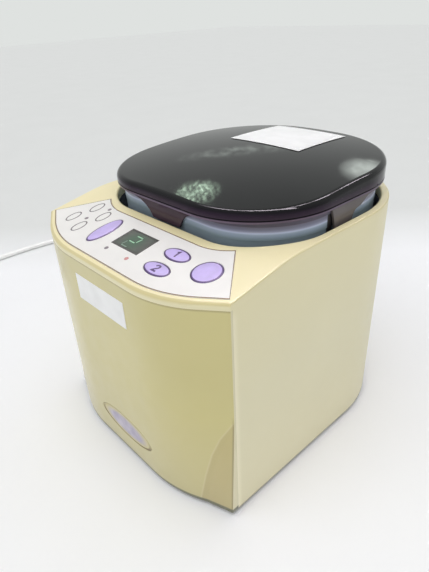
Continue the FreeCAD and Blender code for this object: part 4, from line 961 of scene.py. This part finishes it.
def sleeve_profile():
    """Ribs that shrink from the flange to the tip."""
    step = (SLEEVE_END - SLEEVE_START) / SLEEVE_RIBS
    profile = []
    for rib in range(SLEEVE_RIBS):
        start = SLEEVE_START + rib * step
        radius = SLEEVE_RADIUS - SLEEVE_TAPER * rib / (SLEEVE_RIBS - 1)
        groove = max(SLEEVE_CORE, radius - RIB_DEPTH)
        profile += [
            (start + 0.1 * step, radius - RIB_ROUND),
            (start + 0.2 * step, radius),
            (start + 0.55 * step, radius),
            (start + 0.65 * step, radius - RIB_ROUND),
            (start + 0.7 * step, groove),
            (start + 0.98 * step, groove),
        ]
    return profile


def bushing(work):
    rings = []
    tip = [(SLEEVE_END, SLEEVE_CORE), (SLEEVE_END, SLEEVE_HOLE)]
    for y, radius in BUSHING_PROFILE + sleeve_profile() + tip:
        loop = ellipse((0.0, BUSHING_Z), radius, radius, 40)
        rings.append([Vector((x, y, z)) * MM for x, z in loop])
    skin(work, rings)


bushing_mesh = mesh_from("ribbed_bushing", bushing, 35.0)
add_piece("ribbed_bushing", bushing_mesh, paints["cord"], "casing", ["cord_bushing"])


# Stage: a pale floor, soft light from above and the lights that the lid mirrors

FLOOR_REACH, FLOOR_Z = 6.0, -0.0002
# The floor greys out from here to here round the part, and so it does behind the part in this direction
FLOOR_AROUND, FLOOR_BEHIND = (0.45, 0.9), (0.24, 0.4)
FLOOR_FADE = (-0.749, 0.663, 0.0)
WORLD_STRENGTH, WALL_COLOUR = 0.58, (223, 226, 224)


def make_floor():
    def build(work):
        corners = [(-1, -1), (1, -1), (1, 1), (-1, 1)]
        work.faces.new([work.verts.new((i * FLOOR_REACH, j * FLOOR_REACH, FLOOR_Z)) for i, j in corners])

    surface = Surface("floor_pale", Roughness=0.8, Specular_IOR_Level=0.2)
    around = surface.away((0.0, 0.0, 0.0), *FLOOR_AROUND)
    behind = surface.remap(surface.towards(FLOOR_FADE), *FLOOR_BEHIND, 0.0, 1.0)
    far = surface.calc("MAXIMUM", around, behind)
    tone = surface.ramp(far, [(0.0, (250, 251, 254)), (1.0, (226, 228, 227))])
    surface.paint(surface.mix(1.0, tone, surface.drift(9.0, 0.008), "MULTIPLY"))
    surface.grain(300.0, 0.02)
    mesh = mesh_from("floor", build)
    mesh.materials.append(surface.material)
    floor = bpy.data.objects.new("floor", mesh)
    scene.collection.objects.link(floor)


def make_world():
    world = bpy.data.worlds.new("studio")
    world.use_nodes = True
    scene.world = world
    tree = world.node_tree
    lighting = tree.nodes["Background"]
    lighting.inputs["Color"].default_value = (1.0, 1.0, 1.0, 1.0)
    lighting.inputs["Strength"].default_value = WORLD_STRENGTH
    seen = tree.nodes.new("ShaderNodeBackground")
    seen.inputs["Color"].default_value = (*linear(*WALL_COLOUR), 1.0)
    rays = tree.nodes.new("ShaderNodeLightPath")
    any_ray = rays.outputs["Is Camera Ray"]
    for kind in ("Is Glossy Ray", "Is Transmission Ray"):
        either = tree.nodes.new("ShaderNodeMath")
        either.operation = "MAXIMUM"
        tree.links.new(any_ray, either.inputs[0])
        tree.links.new(rays.outputs[kind], either.inputs[1])
        any_ray = either.outputs[0]
    mix = tree.nodes.new("ShaderNodeMixShader")
    tree.links.new(any_ray, mix.inputs[0])
    tree.links.new(lighting.outputs[0], mix.inputs[1])
    tree.links.new(seen.outputs[0], mix.inputs[2])
    tree.links.new(mix.outputs[0], tree.nodes["World Output"].inputs["Surface"])


def make_sun(name, towards_light, strength, spread):
    data = bpy.data.lights.new(name, "SUN")
    data.energy = strength
    data.angle = spread
    sun = bpy.data.objects.new(name, data)
    sun.rotation_euler = Vector(towards_light).to_track_quat("Z", "Y").to_euler()
    sun.visible_glossy = False
    scene.collection.objects.link(sun)


def make_card(
    name, seen_from, towards, halves, colour, strength, cell, patches, fade=0.4, stretch=(1.0, 1.0, 1.0)
):
    """An oval light a metre off, in patches that fade to the edge, that only mirror-like surfaces show.

    The patches are the noise's low and high limit, and how much light is left between them.
    """
    place = Vector(seen_from) * MM
    back = -Vector(towards).normalized()
    centre = place - back
    aside = Vector((1, 0, 0)) if abs(back.z) > 0.65 else Vector((0, 0, 1)).cross(back)
    level = (aside - back * aside.dot(back)).normalized()
    facing = Matrix((level, back.cross(level), back)).transposed().to_4x4()

    def build(work):
        loop = ellipse((0.0, 0.0), halves[0], halves[1], 48)
        work.faces.new([work.verts.new((x, y, 0.0)) for x, y in loop])

    surface = Surface(name, Base_Color=(0.0, 0.0, 0.0, 1.0), Roughness=1.0, Emission_Strength=strength)
    surface.shader.inputs["Emission Color"].default_value = (*colour, 1.0)
    spots = surface.remap(surface.noise(cell, 6.0, stretch), patches[0], patches[1], patches[2], 1.0)
    inside = surface.remap(surface.oval((0.0, 0.0, 0.0), (*halves, 1.0)), fade, 1.0, 1.0, 0.0)
    surface.link(surface.calc("MULTIPLY", spots, inside), surface.shader.inputs["Alpha"])
    mesh = mesh_from(name, build)
    mesh.materials.append(surface.material)
    card = bpy.data.objects.new(name, mesh)
    card.matrix_world = Matrix.Translation(centre) @ facing
    scene.collection.objects.link(card)
    card.visible_camera = False
    card.visible_diffuse = False
    card.visible_transmission = False
    card.visible_shadow = False


make_floor()
make_world()
make_sun("soft_sun", towards_light=(0.0, -0.35, 1.0), strength=1.22, spread=1.2)

GREENISH, GREY, PINKISH = (0.74, 1.0, 0.76), (0.92, 1.0, 0.94), (1.0, 0.9, 1.0)
make_card(
    "leaf_glow",
    seen_from=(24.8, -52.4, 200.5),
    towards=(-0.7, 0.496, 0.514),
    halves=(0.085, 0.075),
    colour=GREENISH,
    strength=17.0,
    cell=75.0,
    patches=(0.5, 0.6, 0.05),
)
make_card(
    "door_glow",
    seen_from=(86.0, 42.7, 203.8),
    towards=(-0.41, 0.815, 0.41),
    halves=(0.085, 0.09),
    colour=GREY,
    strength=5.2,
    cell=30.0,
    patches=(0.3, 0.7, 0.6),
)
make_card(
    "far_streak",
    seen_from=(-20.0, 15.0, 205.0),
    towards=(-0.68, 0.65, 0.31),
    halves=(0.22, 0.05),
    colour=GREY,
    strength=1.6,
    cell=26.0,
    patches=(0.4, 0.65, 0.0),
)
make_card(
    "tube",
    seen_from=(60.0, -56.0, 198.0),
    towards=(0.05, 0.15, 0.98),
    halves=(0.95, 0.1),
    colour=PINKISH,
    strength=38.0,
    cell=4.0,
    patches=(0.38, 0.5, 0.12),
    fade=0.8,
    stretch=(1.0, 0.02, 1.0),
)
make_card(
    "side_tube",
    seen_from=(88.0, -15.0, 198.0),
    towards=(0.168, 0.53, 0.83),
    halves=(0.1, 0.5),
    colour=PINKISH,
    strength=28.0,
    cell=5.0,
    patches=(0.38, 0.5, 0.1),
    fade=0.8,
    stretch=(0.02, 1.0, 1.0),
)
